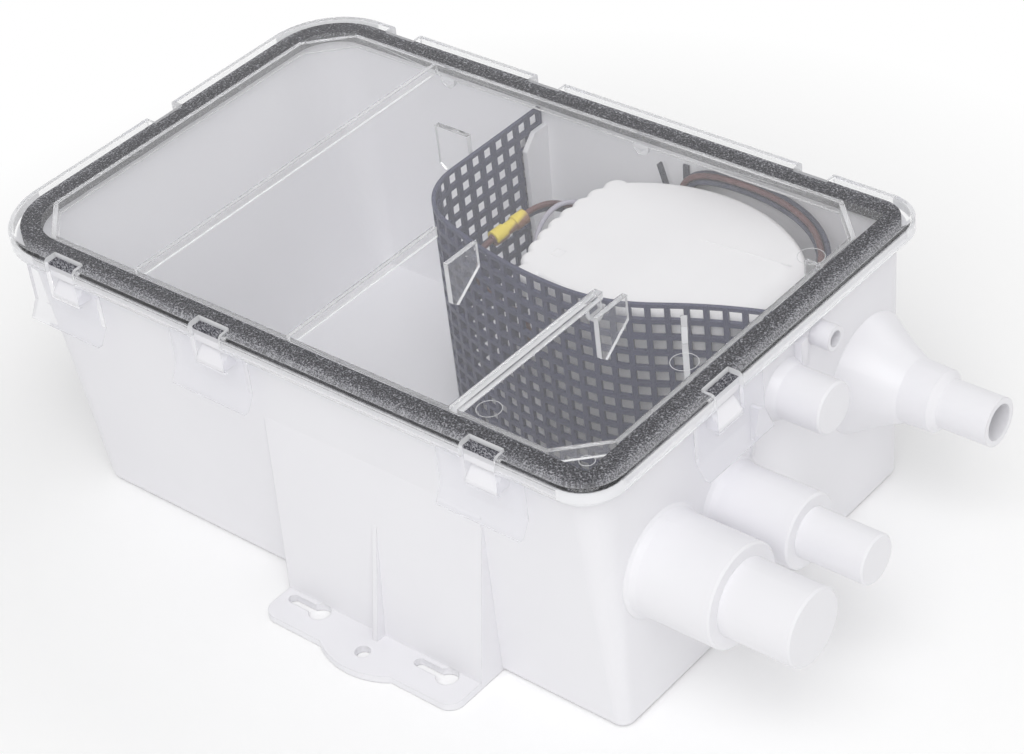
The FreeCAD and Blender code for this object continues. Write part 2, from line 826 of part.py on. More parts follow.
def tub():
    ports = [
        stepped_port(port_a_y, port_a_z, port_a_collar, port_a_nozzle, port_a_end_x),
        stepped_port(port_b_y, port_b_z, port_b_collar, port_b_nozzle, port_b_end_x),
        small_port(),
        outlet_spout(),
        rod_x(port_wall_x(cable_port_z) - tub_wall, cable_port_end_x, cable_port_y, cable_port_z,
              cable_port_radius),
        end_lug(),
        end_gusset(),
    ]
    feet = []
    for piece in (foot_flange(), buttress(), foot_fin()):
        feet += mirrored_pair(piece)
    catches = [turned_to_side(catch(side), side, centre) for _, side, centre in latch_places()]
    shape = tub_shell_outer().multiFuse(ports + feet + catches)
    bores = [
        tub_cavity(tub_wall, tub_floor, rim_top),
        stepped_port_bore(port_a_y, port_a_z, port_a_collar, port_a_nozzle, port_a_end_x),
        stepped_port_bore(port_b_y, port_b_z, port_b_collar, port_b_nozzle, port_b_end_x),
        rod_x(port_wall_x(port_c_z) - 3 * tub_wall, port_c_end_x - port_wall, port_c_y, port_c_z,
              port_c_radius - port_wall),
        rod_x(port_wall_x(cable_port_z) - 3 * tub_wall, cable_port_end_x, cable_port_y, cable_port_z,
              cable_port_bore),
    ]
    for piece in foot_holes() + buttress_pockets():
        bores += mirrored_pair(piece)
    shape = shape.cut(Part.makeCompound(bores[:1]))
    for tool in bores[1:]:
        shape = shape.cut(tool)
    inner_spigot = rod_x(outlet_inner_x, port_wall_x(outlet_z), outlet_y, outlet_z, outlet_radius)
    shape = shape.multiFuse([inner_spigot, sheet_guides()])
    shape = shape.cut(rod_x(outlet_inner_x - 1, outlet_end_x + 1, outlet_y, outlet_z, outlet_bore))
    return one_solid(shape)


# Lid
def lid_gasket():
    z = rim_top
    outer = raised(
        rounded_outline(-gasket_left, gasket_right, gasket_half_width,
                        gasket_corner_left, gasket_corner_right, z),
        gasket_thick,
    )
    inner = raised(
        rounded_outline(-gasket_left + gasket_band, gasket_right - gasket_band,
                        gasket_half_width - gasket_band, gasket_inner_corner_left,
                        gasket_inner_corner_right, z),
        gasket_thick,
    )
    return outer.cut(inner)


def frame_ring(inset, bottom):
    """A rectangle with cut corners, the outline of the lid's locating frame."""
    y = frame_half_width - inset
    cut = frame_chamfer - inset * (2 - math.sqrt(2))
    points = []
    for sx, sy, along_first in ((1, -1, True), (1, 1, False), (-1, 1, True), (-1, -1, False)):
        x = (frame_right if sx > 0 else frame_left) - inset
        pair = [Vec(sx * (x - cut), sy * y, bottom), Vec(sx * x, sy * (y - cut), bottom)]
        points += pair if along_first else pair[::-1]
    return Part.makePolygon(points + points[:1])


def locating_frame():
    bottom = lid_under - frame_depth
    outer = Part.Face(frame_ring(0, bottom)).extrude(Vec(0, 0, frame_depth))
    inner = Part.Face(frame_ring(frame_thick, bottom)).extrude(Vec(0, 0, frame_depth))
    return outer.cut(inner)


def cross_ribs():
    inside = frame_half_width - frame_thick / 2
    z = (lid_under - cross_rib_depth, lid_under)
    half = cross_rib_thick / 2
    ribs = [
        box_between((cross_rib_1_x - half, cross_rib_1_x + half), (-inside, inside), z),
        box_between((cross_rib_2_x - half, cross_rib_2_x + half), (-inside, cross_rib_end_y), z),
    ]
    half = cross_rib_3_thick / 2
    thick_rib = box_between((cross_rib_3_x - half, cross_rib_3_x + half), (-inside, cross_rib_end_y), z)
    low = [e for e in thick_rib.Edges
           if all(abs(v.Z - z[0]) < 0.01 for v in e.Vertexes) and e.Length > latch_width]
    ribs.append(thick_rib.makeFillet(half * 0.8, low))
    ribs.append(end_hook())
    return ribs


def end_hook():
    """A rounded tongue at the free end of the thick rib."""
    radius = hook_length / 2
    middle = cross_rib_end_y - radius
    low = lid_under - hook_drop + radius
    x = cross_rib_3_x - cross_rib_thick / 2
    tongue = Part.makeCylinder(radius, cross_rib_thick, Vec(x, middle, low), AXIS_X)
    neck = box_between((x, x + cross_rib_thick), (middle - radius, middle + radius), (low, lid_under))
    return tongue.fuse(neck)


def fin(x, y, heading):
    """A hanging plate with a slanted lower edge that keeps the strainer sheet from bulging."""
    z = lid_under
    points = [
        Vec(0, -fin_thick / 2, z),
        Vec(0, -fin_thick / 2, z - fin_short_drop),
        Vec(fin_length - fin_tip_inset, -fin_thick / 2, z - fin_tip_drop),
        Vec(fin_length, -fin_thick / 2, z - fin_long_drop),
        Vec(fin_length, -fin_thick / 2, z),
    ]
    plate = polygon_face(points).extrude(Vec(0, fin_thick, 0))
    plate.rotate(Vec(0, 0, 0), AXIS_Z, heading)
    plate.translate(Vec(x, y, 0))
    return plate


def hanging_tab(x, y):
    """A half-round tongue on the locating frame."""
    low = lid_under - tab_drop + tab_radius
    sides = (y - tab_thick / 2, y + tab_thick / 2)
    tongue = Part.makeCylinder(tab_radius, tab_thick, Vec(x, sides[0], low), AXIS_Y)
    neck = box_between((x - tab_radius, x + tab_radius), sides, (low, lid_under))
    return tongue.fuse(neck)


def lid():
    def outline(inset, z):
        return rounded_outline(
            -lid_left + inset, lid_right - inset, lid_half_width - inset,
            lid_corner_left - inset, lid_corner_right - inset, z,
        )

    block = raised(outline(0, skirt_bottom), lid_top - skirt_bottom)
    top_edges = [e for e in block.Edges if all(abs(v.Z - lid_top) < 0.01 for v in e.Vertexes)]
    block = block.makeFillet(lid_shoulder, top_edges)
    hollow = raised(outline(skirt_wall, skirt_bottom), lid_under - skirt_bottom)
    shape = block.cut(hollow)
    fins = [
        fin(pump_x - 58.5, pump_y - 46.0, -90),
        fin(pump_x + 8.5, pump_y - 43.5, -90),
        fin(pump_x + 33.8, pump_y - 42.7, -52),
        fin(sheet_x - sheet_thick / 2 - 2, pump_y + 8.5, 180),
    ]
    tab_middle = frame_half_width - tab_thick / 2
    tabs = [hanging_tab(x, side * tab_middle) for x in tab_places_x for side in (-1, 1)]
    tabs.append(hanging_tab(frame_right - tab_radius, pump_y + end_tab_offset))
    shape = shape.multiFuse([locating_frame()] + cross_ribs() + fins + tabs)
    notches = [turned_to_side(lid_notch(side), side, centre) for _, side, centre in latch_places()]
    return one_solid(shape.cut(Part.makeCompound(notches)))


# Pump
def circle_touching(first, first_radius, second, second_radius, side):
    """The middle of a circle that lies at the given distances from two points, on one side."""
    span = second - first
    along = (first_radius ** 2 - second_radius ** 2 + span.Length ** 2) / (2 * span.Length)
    across = math.sqrt(first_radius ** 2 - along ** 2)
    span.normalize()
    normal = Vec(-span.y, span.x, 0)
    if normal.y * side < 0:
        normal = -normal
    return first + span * along + normal * across


def egg_side(inset, side):
    """Half of the pump's outline as touching arcs from the nose to the tail, before it is turned."""
    width = pump_far_width if side > 0 else pump_near_width
    corner = tail_corner_far if side > 0 else tail_corner_near
    nose = Vec(pump_nose_reach - nose_radius, 0, 0)
    tail = Vec(-pump_tail_reach + tail_radius, 0, 0)
    run = nose.x - pump_widest
    flank_radius = (run ** 2 + width ** 2 - nose_radius ** 2) / (2 * (width - nose_radius))
    flank = Vec(pump_widest, side * (width - flank_radius), 0)
    bend = circle_touching(flank, flank_radius - corner, tail, tail_radius - corner, side)

    def away(middle, other):
        """The heading from one middle to another."""
        return (other - middle).normalize()

    def arc(middle, radius, start, end):
        half = (start + end).normalize()
        reach = radius - inset
        return Part.Arc(middle + start * reach, middle + half * reach, middle + end * reach).toShape()

    front = Vec(1, 0, 0)
    back = Vec(-1, 0, 0)
    to_nose = away(flank, nose)
    to_bend = away(flank, bend)
    to_tail = away(tail, bend)
    return [arc(nose, nose_radius, front, to_nose), arc(flank, flank_radius, to_nose, to_bend),
            arc(bend, corner, to_bend, to_tail), arc(tail, tail_radius, to_tail, back)]


def on_pump(shape, z):
    """Turns and moves a shape drawn round the pump's middle to its place."""
    shape.rotate(Vec(0, 0, 0), AXIS_Z, pump_turn)
    shape.translate(Vec(pump_x, pump_y, z))
    return shape


def egg(inset, z):
    edges = Part.sortEdges(egg_side(inset, 1) + egg_side(inset, -1))[0]
    return on_pump(Part.Wire(edges), z)


def shoulder_profile(z):
    """The pump seen from the near side: a flat top that rolls down over the nose."""
    right = pump_nose_reach + pump_x + 1.0
    left = pump_x - pump_tail_reach - 10
    start = Vec(right - shoulder_radius, 0, pump_top)
    middle = start + Vec(shoulder_radius * math.sqrt(0.5), 0, shoulder_radius * (math.sqrt(0.5) - 1))
    end = Vec(right, 0, pump_top - shoulder_radius)
    corners = [Vec(right, 0, z), Vec(left, 0, z), Vec(left, 0, pump_top)]
    edges = [Part.Arc(start, middle, end).toShape(), Part.makeLine(end, corners[0]),
             Part.makeLine(corners[0], corners[1]), Part.makeLine(corners[1], corners[2]),
             Part.makeLine(corners[2], start)]
    face = Part.Face(Part.Wire(edges))
    face.translate(Vec(0, pump_y - 2 * pump_far_width, 0))
    return face.extrude(Vec(0, 4 * pump_far_width, 0))


def grip_lobes(bottom, height):
    """Rounded grip lobes along the tail of the cover."""
    lobes = []
    for index in range(lobe_count):
        y = (index - (lobe_count - 1) / 2) * lobe_pitch
        x = -pump_tail_reach + tail_radius - math.sqrt(tail_radius ** 2 - y ** 2)
        lobe = Part.makeCylinder(lobe_radius, height, Vec(x + lobe_radius - lobe_proud, y, 0))
        rim = [e for e in lobe.Edges if len(e.Vertexes) == 1 and e.Vertexes[0].Z > height - 0.01]
        lobes.append(on_pump(lobe.makeFillet(cover_round, rim), bottom))
    return lobes


def pump_cover():
    core = raised(egg(0, body_top), cover_height).common(shoulder_profile(body_top))
    top_edges = [e for e in core.Edges if all(v.Z > body_top + 0.01 for v in e.Vertexes)
                 and not (len(e.Vertexes) == 2 and abs(e.Vertexes[0].X - e.Vertexes[1].X) < 0.01)]
    core = core.makeFillet(cover_round, top_edges)
    return one_solid(core.multiFuse(grip_lobes(body_top, cover_height)))


def pump_body():
    shape = raised(egg(body_inset, body_bottom), body_top - body_bottom)
    shape = shape.common(shoulder_profile(body_bottom))
    spigot = rod_x(riser_x, spigot_end_x, outlet_y, outlet_z, outlet_radius)
    recess = rod_x(spigot_recess_x, pump_x + pump_nose_reach + 2, outlet_y, outlet_z,
                   spigot_recess_radius)
    shape = shape.cut(recess).fuse(spigot)
    shape = shape.fuse(box_between(lead_boss_x, lead_boss_y, lead_boss_z))
    shape = shape.fuse(box_between(side_boss_x, side_boss_y, side_boss_z))
    motor_room = Part.makeCylinder(motor_radius + motor_clearance, body_top - motor_seat,
                                   Vec(motor_x, motor_y, motor_seat))
    volute = Part.makeCylinder(volute_radius, volute_height, Vec(motor_x, motor_y, body_bottom))
    seal_bore = Part.makeCylinder(seal_radius, volute_web, Vec(motor_x, motor_y, volute_top))
    float_room = box_between(float_chamber_x, float_chamber_y,
                             (body_bottom, body_bottom + float_chamber_height))
    channel_z = body_bottom + volute_height / 2
    start = Vec(motor_x, motor_y, channel_z)
    toward = Vec(riser_x, outlet_y, channel_z) - start
    channel = Part.makeCylinder(channel_radius, toward.Length, start, toward)
    riser = Part.makeCylinder(riser_radius, outlet_z - channel_z, Vec(riser_x, outlet_y, channel_z))
    outlet = rod_x(riser_x, spigot_end_x, outlet_y, outlet_z, riser_radius)
    for tool in (motor_room, volute, seal_bore, float_room, channel, riser, outlet):
        shape = shape.cut(tool)
    return one_solid(shape)


def volute_plate():
    plate = raised(egg(body_inset, foot_plate_top), volute_plate_thick)
    eye = Part.makeCylinder(inlet_eye_radius, volute_plate_thick, Vec(motor_x, motor_y, foot_plate_top))
    return plate.cut(eye)


def pump_base_strainer():
    """A slotted skirt with a floor, through which the pump draws its water."""
    skirt = raised(egg(strainer_foot_inset, tub_floor), strainer_foot_height)
    room = raised(egg(strainer_foot_inset + strainer_foot_wall, tub_floor + strainer_foot_wall),
                  strainer_foot_height - strainer_foot_wall)
    shape = skirt.cut(room)
    slots = []
    for side in (-1, 1):
        for edge in egg_side(strainer_foot_inset, side)[:2]:
            count = int(edge.Length / strainer_slot_pitch)
            for index in range(count):
                span = edge.LastParameter - edge.FirstParameter
                turn = edge.FirstParameter + span * (index + 0.5) / count
                place = edge.valueAt(turn)
                heading = edge.tangentAt(turn)
                slot = Part.makeBox(strainer_slot_width, 8 * strainer_foot_wall,
                                    strainer_foot_height - 2 * strainer_foot_wall,
                                    Vec(-strainer_slot_width / 2, -4 * strainer_foot_wall, 0))
                slot.rotate(Vec(0, 0, 0), AXIS_Z, math.degrees(math.atan2(heading.y, heading.x)))
                slot.translate(place)
                slots.append(on_pump(slot, tub_floor + strainer_foot_wall))
    return one_solid(shape.cut(Part.makeCompound(slots)))


def motor():
    can = Part.makeCylinder(motor_radius, motor_height, Vec(motor_x, motor_y, motor_seat))
    can = can.makeChamfer(1.0, [e for e in can.Edges if e.Length > 10 and len(e.Vertexes) == 1])
    boss = Part.makeCylinder(motor_boss_radius, motor_boss_height,
                             Vec(motor_x, motor_y, motor_seat + motor_height))
    bore = Part.makeCylinder(shaft_radius + shaft_clearance, motor_height,
                             Vec(motor_x, motor_y, motor_seat))
    return one_solid(can.fuse(boss).cut(bore))


def motor_shaft():
    bottom = body_bottom + impeller_gap
    return Part.makeCylinder(shaft_radius, motor_seat + motor_height - 1 - bottom,
                             Vec(motor_x, motor_y, bottom))


def shaft_seal():
    outer = Part.makeCylinder(seal_radius - shaft_clearance, volute_web, Vec(motor_x, motor_y, volute_top))
    inner = Part.makeCylinder(shaft_radius + shaft_clearance, volute_web,
                              Vec(motor_x, motor_y, volute_top))
    return outer.cut(inner)


def impeller():
    """A disc with curved vanes below it and a hub on the shaft."""
    bottom = body_bottom + impeller_gap
    height = volute_height - 2 * impeller_gap
    disc_z = bottom + height - impeller_disc
    disc = Part.makeCylinder(impeller_radius, impeller_disc, Vec(motor_x, motor_y, disc_z))
    hub = Part.makeCylinder(impeller_hub_radius, height, Vec(motor_x, motor_y, bottom))
    step = 360.0 / vane_count
    vanes = [vane(step * index, bottom, height - impeller_disc) for index in range(vane_count)]
    shape = disc.multiFuse([hub] + vanes)
    bore = Part.makeCylinder(shaft_radius, height, Vec(motor_x, motor_y, bottom))
    return one_solid(shape.cut(bore))


def vane(angle, bottom, height):
    """One swept-back vane between two arcs."""
    tip = impeller_radius - 0.6
    root = impeller_hub_radius - 1
    bow = 0.28 * tip
    outer = Part.Arc(Vec(root, vane_thick / 2, bottom), Vec(tip * 0.55, bow + vane_thick / 2, bottom),
                     Vec(tip * 0.97, vane_thick / 2, bottom)).toShape()
    inner = Part.Arc(Vec(root, -vane_thick / 2, bottom), Vec(tip * 0.55, bow - vane_thick / 2, bottom),
                     Vec(tip * 0.97, -vane_thick / 2, bottom)).toShape()
    ends = [Part.makeLine(outer.Vertexes[0].Point, inner.Vertexes[0].Point),
            Part.makeLine(outer.Vertexes[1].Point, inner.Vertexes[1].Point)]
    face = Part.Face(Part.Wire(Part.sortEdges([outer, inner] + ends)[0]))
    blade = face.extrude(Vec(0, 0, height))
    blade.rotate(Vec(0, 0, 0), AXIS_Z, angle)
    blade.translate(Vec(motor_x, motor_y, 0))
    return blade


# Float switch
def float_pin_place():
    return float_chamber_y[0] + float_pin_inset, body_bottom + float_gap + float_height / 2


def float_pin():
    y, z = float_pin_place()
    return rod_x(float_chamber_x[0], float_chamber_x[1], y, z, float_pin_radius)


def float_arm():
    """The float with its arm and the hub that swings on the pin."""
    y, z = float_pin_place()
    inset = float_gap
    length = (y + float_hub_radius + 2, y + float_hub_radius + 2 + float_length)
    body = box_between((float_chamber_x[0] + inset, float_chamber_x[1] - inset), length,
                       (z - float_height / 2, z + float_height / 2))
    body = body.makeChamfer(1.5, body.Edges)
    middle = sum(float_chamber_x) / 2
    x = (middle - float_arm_width / 2, middle + float_arm_width / 2)
    hub = rod_x(x[0], x[1], y, z, float_hub_radius)
    arm = box_between(x, (y, length[0] + 1), (z - 1.5, z + 1.5))
    bore = rod_x(x[0], x[1], y, z, float_pin_radius + float_pin_clearance)
    return one_solid(body.multiFuse([hub, arm]).cut(bore))


# Hose and clamps
def outlet_hose():
    inner = outlet_radius + hose_fit
    x0 = spigot_recess_x + hose_end_gap
    x1 = port_wall_x(outlet_z) - tub_wall - hose_end_gap
    return rod_x(x0, x1, outlet_y, outlet_z, inner + hose_wall).cut(
        rod_x(x0, x1, outlet_y, outlet_z, inner))


def hose_clamp(middle_x):
    inner = outlet_radius + hose_wall + 2 * hose_fit
    x0 = middle_x - clamp_width / 2
    x1 = middle_x + clamp_width / 2
    band = rod_x(x0, x1, outlet_y, outlet_z, inner + clamp_thick)
    screw_y = outlet_y + inner + clamp_thick + 0.6 * clamp_screw_radius
    screw = Part.makeCylinder(clamp_screw_radius, clamp_screw_length,
                              Vec(middle_x, screw_y, outlet_z - clamp_screw_length / 2))
    return one_solid(band.fuse(screw).cut(rod_x(x0, x1, outlet_y, outlet_z, inner)))


# Leads: straight runs joined by arcs that touch them
def lead_wire(name, points, radius):
    edges = []
    radii = []
    start = points[0]
    for before, corner, after in zip(points, points[1:], points[2:]):
        arriving = corner - before
        leaving = after - corner
        turn = arriving.getAngle(leaving)
        bend = 0.45 * min(arriving.Length, leaving.Length) / math.tan(turn / 2)
        back = bend * math.tan(turn / 2)
        arriving.normalize()
        leaving.normalize()
        inward = leaving - arriving
        inward.normalize()
        touch_in = corner - arriving * back
        touch_out = corner + leaving * back
        middle = corner + inward * (bend / math.cos(turn / 2) - bend)
        edges.append(Part.LineSegment(start, touch_in).toShape())
        edges.append(Part.Arc(touch_in, middle, touch_out).toShape())
        start = touch_out
        radii.append(bend)
    edges.append(Part.LineSegment(start, points[-1]).toShape())
    path = Part.Wire(edges)
    heading = points[1] - points[0]
    section = Part.Wire(Part.Circle(points[0], heading, radius).toShape())
    tube = path.makePipeShell([section], True, True)
    true_volume = math.pi * radius ** 2 * path.Length
    print("%s: length %.0f mm, smallest radius %.0f mm, volume %.3f of the ideal"
          % (name, path.Length, min(radii), tube.Volume / true_volume))
    return tube


def beside(points, across, up):
    """The same route moved sideways: across and up are measured from its first run."""
    runs = [(after - before).normalize() for before, after in zip(points, points[1:])]
    sideways = runs[0].cross(Vec(0, 1, 0))
    offset = Vec(0, 1, 0) * across + sideways.normalize() * up
    moved = [points[0] + offset]
    for corner, arriving, leaving in zip(points[1:], runs, runs[1:]):
        middle = arriving + leaving
        offset = offset - arriving * (offset.dot(middle) / arriving.dot(middle))
        moved.append(corner + offset)
        offset = offset - leaving * offset.dot(leaving)
    return moved + [points[-1] + offset]


def at_pump(x, y, z):
    """A point measured from the middle of the pump's top."""
    return Vec(pump_x + x, pump_y + y, pump_top + z)


def bundle_start():
    return Vec(sum(lead_boss_x) / 2, lead_boss_y[1] - 2.4, lead_boss_z[1])


def connector_ends():
    return at_pump(-71.0, -4.7, -4.0), at_pump(-73.5, -20.7, -6.0)


def bundle_route():
    """The middle of the four spare leads: up behind the pump, round its far side and down."""
    return [
        bundle_start(),
        at_pump(-32.5, 42.4, -4.0),
        at_pump(-20.5, 44.8, 4.2),
        at_pump(16.0, 44.7, 3.8),
        at_pump(41.5, 33.0, 1.5),
        at_pump(53.0, 10.5, -2.5),
        at_pump(53.4, -4.0, -14.0),
        at_pump(53.4, -4.0, -29.0),
    ]


def spare_lead(name, column, row):
    """One of the four spare leads."""
    step = bundle_step / 2
    return lead_wire(name, beside(bundle_route(), column * step, row * step), wire_radius)


def crimp_connector():
    """A butt connector: a sleeve with a narrower waist where it was crimped."""
    start, end = connector_ends()
    along = end - start
    length = along.Length
    along.normalize()
    sleeve = Part.makeCylinder(connector_radius, length, start, along)
    ring = Part.makeCylinder(connector_radius + 1, length * 0.3, start + along * (length * 0.35), along)
    core = Part.makeCylinder(connector_waist, length * 0.4, start + along * (length * 0.3), along)
    return one_solid(sleeve.cut(ring).fuse(core))


def feed_lead(name, row):
    """A lead from the pump's rear boss to the connector."""
    start, end = connector_ends()
    points = [
        at_pump(lead_boss_offset_x[0], 40.0, -26.5),
        at_pump(-49.0, 40.0, -26.5),
        at_pump(-56.0, 32.5, -21.0),
        at_pump(-64.5, 16.5, -10.5),
        start - (end - start).normalize() * 9.0,
        start,
    ]
    return lead_wire(name, beside(points, 0, row * bundle_step / 2), wire_radius)


def drop_lead():
    """The lead that leaves the connector and turns down to the pump's side boss."""
    start, end = connector_ends()
    points = [
        end,
        end + (end - start).normalize() * 12.0,
        at_pump(-69.1, -35.3, -17.6),
        at_pump(-59.7, -32.1, -26.0),
        at_pump(-55.8, -26.0, -30.5),
        at_pump(-55.8, -26.0, side_boss_offset_z[1]),
    ]
    return lead_wire("wire_drop", points, wire_radius)


def grey_lead():
    """The float switch's thin lead, which bows out past the cover's grip lobes."""
    points = [
        at_pump(lead_boss_offset_x[0], 36.7, -32.0),
        at_pump(-49.8, 36.7, -32.0),
        at_pump(-55.0, 27.5, -19.0),
        at_pump(-58.7, 17.5, -6.0),
        at_pump(-62.4, 5.5, -0.6),
        at_pump(-61.8, -7.5, -3.0),
        at_pump(-58.0, -17.0, -12.5),
        at_pump(-56.4, -20.2, -26.0),
        at_pump(-56.4, -20.2, side_boss_offset_z[1]),
    ]
    return lead_wire("wire_grey", points, thin_wire_radius)


def cable_tie(rise, tail_heading, lean):
    """A square band round the rising leads with its tail standing up on the side that it heads for."""
    height = lead_boss_z[1] + rise
    tail_top = pump_top + tie_tail_rise
    half = bundle_step / 2 + wire_radius + tie_fit
    outer = half + tie_thick
    z = (height, height + tie_width)
    band = box_between((-outer, outer), (-outer, outer), z)
    room = box_between((-half, half), (-half, half), z)
    points = [Vec(outer - tie_thick, 0, height), Vec(outer, 0, height),
              Vec(outer + lean, 0, tail_top), Vec(outer - tie_thick + lean, 0, tail_top)]
    tail = polygon_face(points).extrude(Vec(0, tie_width, 0))
    tail.translate(Vec(0, -tie_width / 2, 0))
    tail.rotate(Vec(0, 0, 0), AXIS_Z, tail_heading)
    tie = one_solid(band.cut(room).fuse(tail))
    tie.translate(Vec(bundle_start().x, bundle_start().y, 0))
    return tie


def export(name, shape):
    shape.exportStep(os.path.join("parts", name + ".step"))
    print("%s: %d solid, valid %s" % (name, len(shape.Solids), shape.isValid()))


def main():
    os.makedirs("parts", exist_ok=True)
    export("tub", tub())
    export("lid", lid())
    export("lid_gasket", lid_gasket())
    for name, side, centre in latch_places():
        export(name, turned_to_side(latch(side), side, centre))
    export("strainer_sheet", strainer_sheet())
    export("pump_cover", pump_cover())
    export("pump_body", pump_body())
    export("volute_plate", volute_plate())
    export("pump_base_strainer", pump_base_strainer())
    export("motor", motor())
    export("motor_shaft", motor_shaft())
    export("shaft_seal", shaft_seal())
    export("impeller", impeller())
    export("float", float_arm())
    export("float_pin", float_pin())
    export("outlet_hose", outlet_hose())
    export("hose_clamp_pump", hose_clamp(spigot_end_x - clamp_width / 2))
    export("hose_clamp_outlet", hose_clamp(outlet_inner_x + clamp_width / 2 + 1))
    export("crimp_connector", crimp_connector())
    export("wire_black_top", spare_lead("wire_black_top", 1, 1))
    export("wire_black_low", spare_lead("wire_black_low", -1, -1))
    export("wire_red", spare_lead("wire_red", 1, -1))
    export("wire_brown", spare_lead("wire_brown", -1, 1))
    export("wire_feed_black", feed_lead("wire_feed_black", 1))
    export("wire_feed_brown", feed_lead("wire_feed_brown", -1))
    export("wire_drop", drop_lead())
    export("wire_grey", grey_lead())
    export("cable_tie_low", cable_tie(2.0, 180, 6.5))
    export("cable_tie_high", cable_tie(6.0, 90, 1.3))


main()
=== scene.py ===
import bmesh
import bpy
import json
import math
from mathutils import Matrix, Vector


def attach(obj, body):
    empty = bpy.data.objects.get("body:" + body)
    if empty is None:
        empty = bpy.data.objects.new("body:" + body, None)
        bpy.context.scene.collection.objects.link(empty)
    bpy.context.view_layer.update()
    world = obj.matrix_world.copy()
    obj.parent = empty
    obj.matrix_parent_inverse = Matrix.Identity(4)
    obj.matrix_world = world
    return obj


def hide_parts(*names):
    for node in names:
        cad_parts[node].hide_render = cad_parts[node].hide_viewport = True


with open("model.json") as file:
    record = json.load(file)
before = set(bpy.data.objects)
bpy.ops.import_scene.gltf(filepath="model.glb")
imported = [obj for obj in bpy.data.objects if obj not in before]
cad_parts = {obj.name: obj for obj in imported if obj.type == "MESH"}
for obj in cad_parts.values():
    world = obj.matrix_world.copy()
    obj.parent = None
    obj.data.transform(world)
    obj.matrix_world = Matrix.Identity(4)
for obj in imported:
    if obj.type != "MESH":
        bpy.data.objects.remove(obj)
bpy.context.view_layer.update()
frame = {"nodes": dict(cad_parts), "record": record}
nodes = frame["nodes"]
print("frame loaded with", len(nodes), "nodes")


# Materials
def newTree(name):
    material = bpy.data.materials.new(name)
    material.use_nodes = True
    tree = material.node_tree
    tree.nodes.clear()
    output = tree.nodes.new("ShaderNodeOutputMaterial")
    coords = tree.nodes.new("ShaderNodeTexCoord").outputs["Object"]
    return material, tree, output, coords


def noiseOn(tree, coords, scale, detail=3.0, roughness=0.55):
    noise = tree.nodes.new("ShaderNodeTexNoise")
    noise.inputs["Scale"].default_value = scale
    noise.inputs["Detail"].default_value = detail
    noise.inputs["Roughness"].default_value = roughness
    tree.links.new(coords, noise.inputs["Vector"])
    return noise.outputs["Fac"]


def stretchedOn(tree, coords, stretch):
    mapping = tree.nodes.new("ShaderNodeMapping")
    mapping.inputs["Scale"].default_value = stretch
    tree.links.new(coords, mapping.inputs["Vector"])
    return mapping.outputs["Vector"]


def mathOn(tree, operation, first, second, third=None):
    node = tree.nodes.new("ShaderNodeMath")
    node.operation = operation
    for socket, value in zip(node.inputs, (first, second, third)):
        if isinstance(value, (int, float)):
            socket.default_value = value
        elif value is not None:
            tree.links.new(value, socket)
    return node.outputs["Value"]


def rampOn(tree, factor, stops):
    ramp = tree.nodes.new("ShaderNodeValToRGB")
    elements = ramp.color_ramp.elements
    while len(elements) < len(stops):
        elements.new(0.5)
    for element, (position, colour) in zip(elements, stops):
        element.position = position
        element.color = (*colour, 1.0)
    tree.links.new(factor, ramp.inputs["Fac"])
    return ramp.outputs["Color"]


def rangeOn(tree, factor, low, high, fromLow=0.3, fromHigh=0.7):
    scaled = tree.nodes.new("ShaderNodeMapRange")
    scaled.inputs["From Min"].default_value = fromLow
    scaled.inputs["From Max"].default_value = fromHigh
    scaled.inputs["To Min"].default_value = low
    scaled.inputs["To Max"].default_value = high
    tree.links.new(factor, scaled.inputs["Value"])
    return scaled.outputs["Result"]


def bumpOn(tree, height, depth, strength=1.0, before=None):
    bump = tree.nodes.new("ShaderNodeBump")
    bump.inputs["Strength"].default_value = strength
    bump.inputs["Distance"].default_value = depth
    tree.links.new(height, bump.inputs["Height"])
    if before is not None:
        tree.links.new(before, bump.inputs["Normal"])
    return bump.outputs["Normal"]


def roundedEdges(tree, radius, samples=6):
    bevel = tree.nodes.new("ShaderNodeBevel")
    bevel.samples = samples
    bevel.inputs["Radius"].default_value = radius
    return bevel.outputs["Normal"]


# 1 for a ray that the camera sees directly, in a reflection or through something clear, else 0
def seenOn(tree):
    path = tree.nodes.new("ShaderNodeLightPath")
    seen = mathOn(tree, "MAXIMUM", path.outputs["Is Camera Ray"], path.outputs["Is Glossy Ray"])
    return mathOn(tree, "MAXIMUM", seen, path.outputs["Is Transmission Ray"])


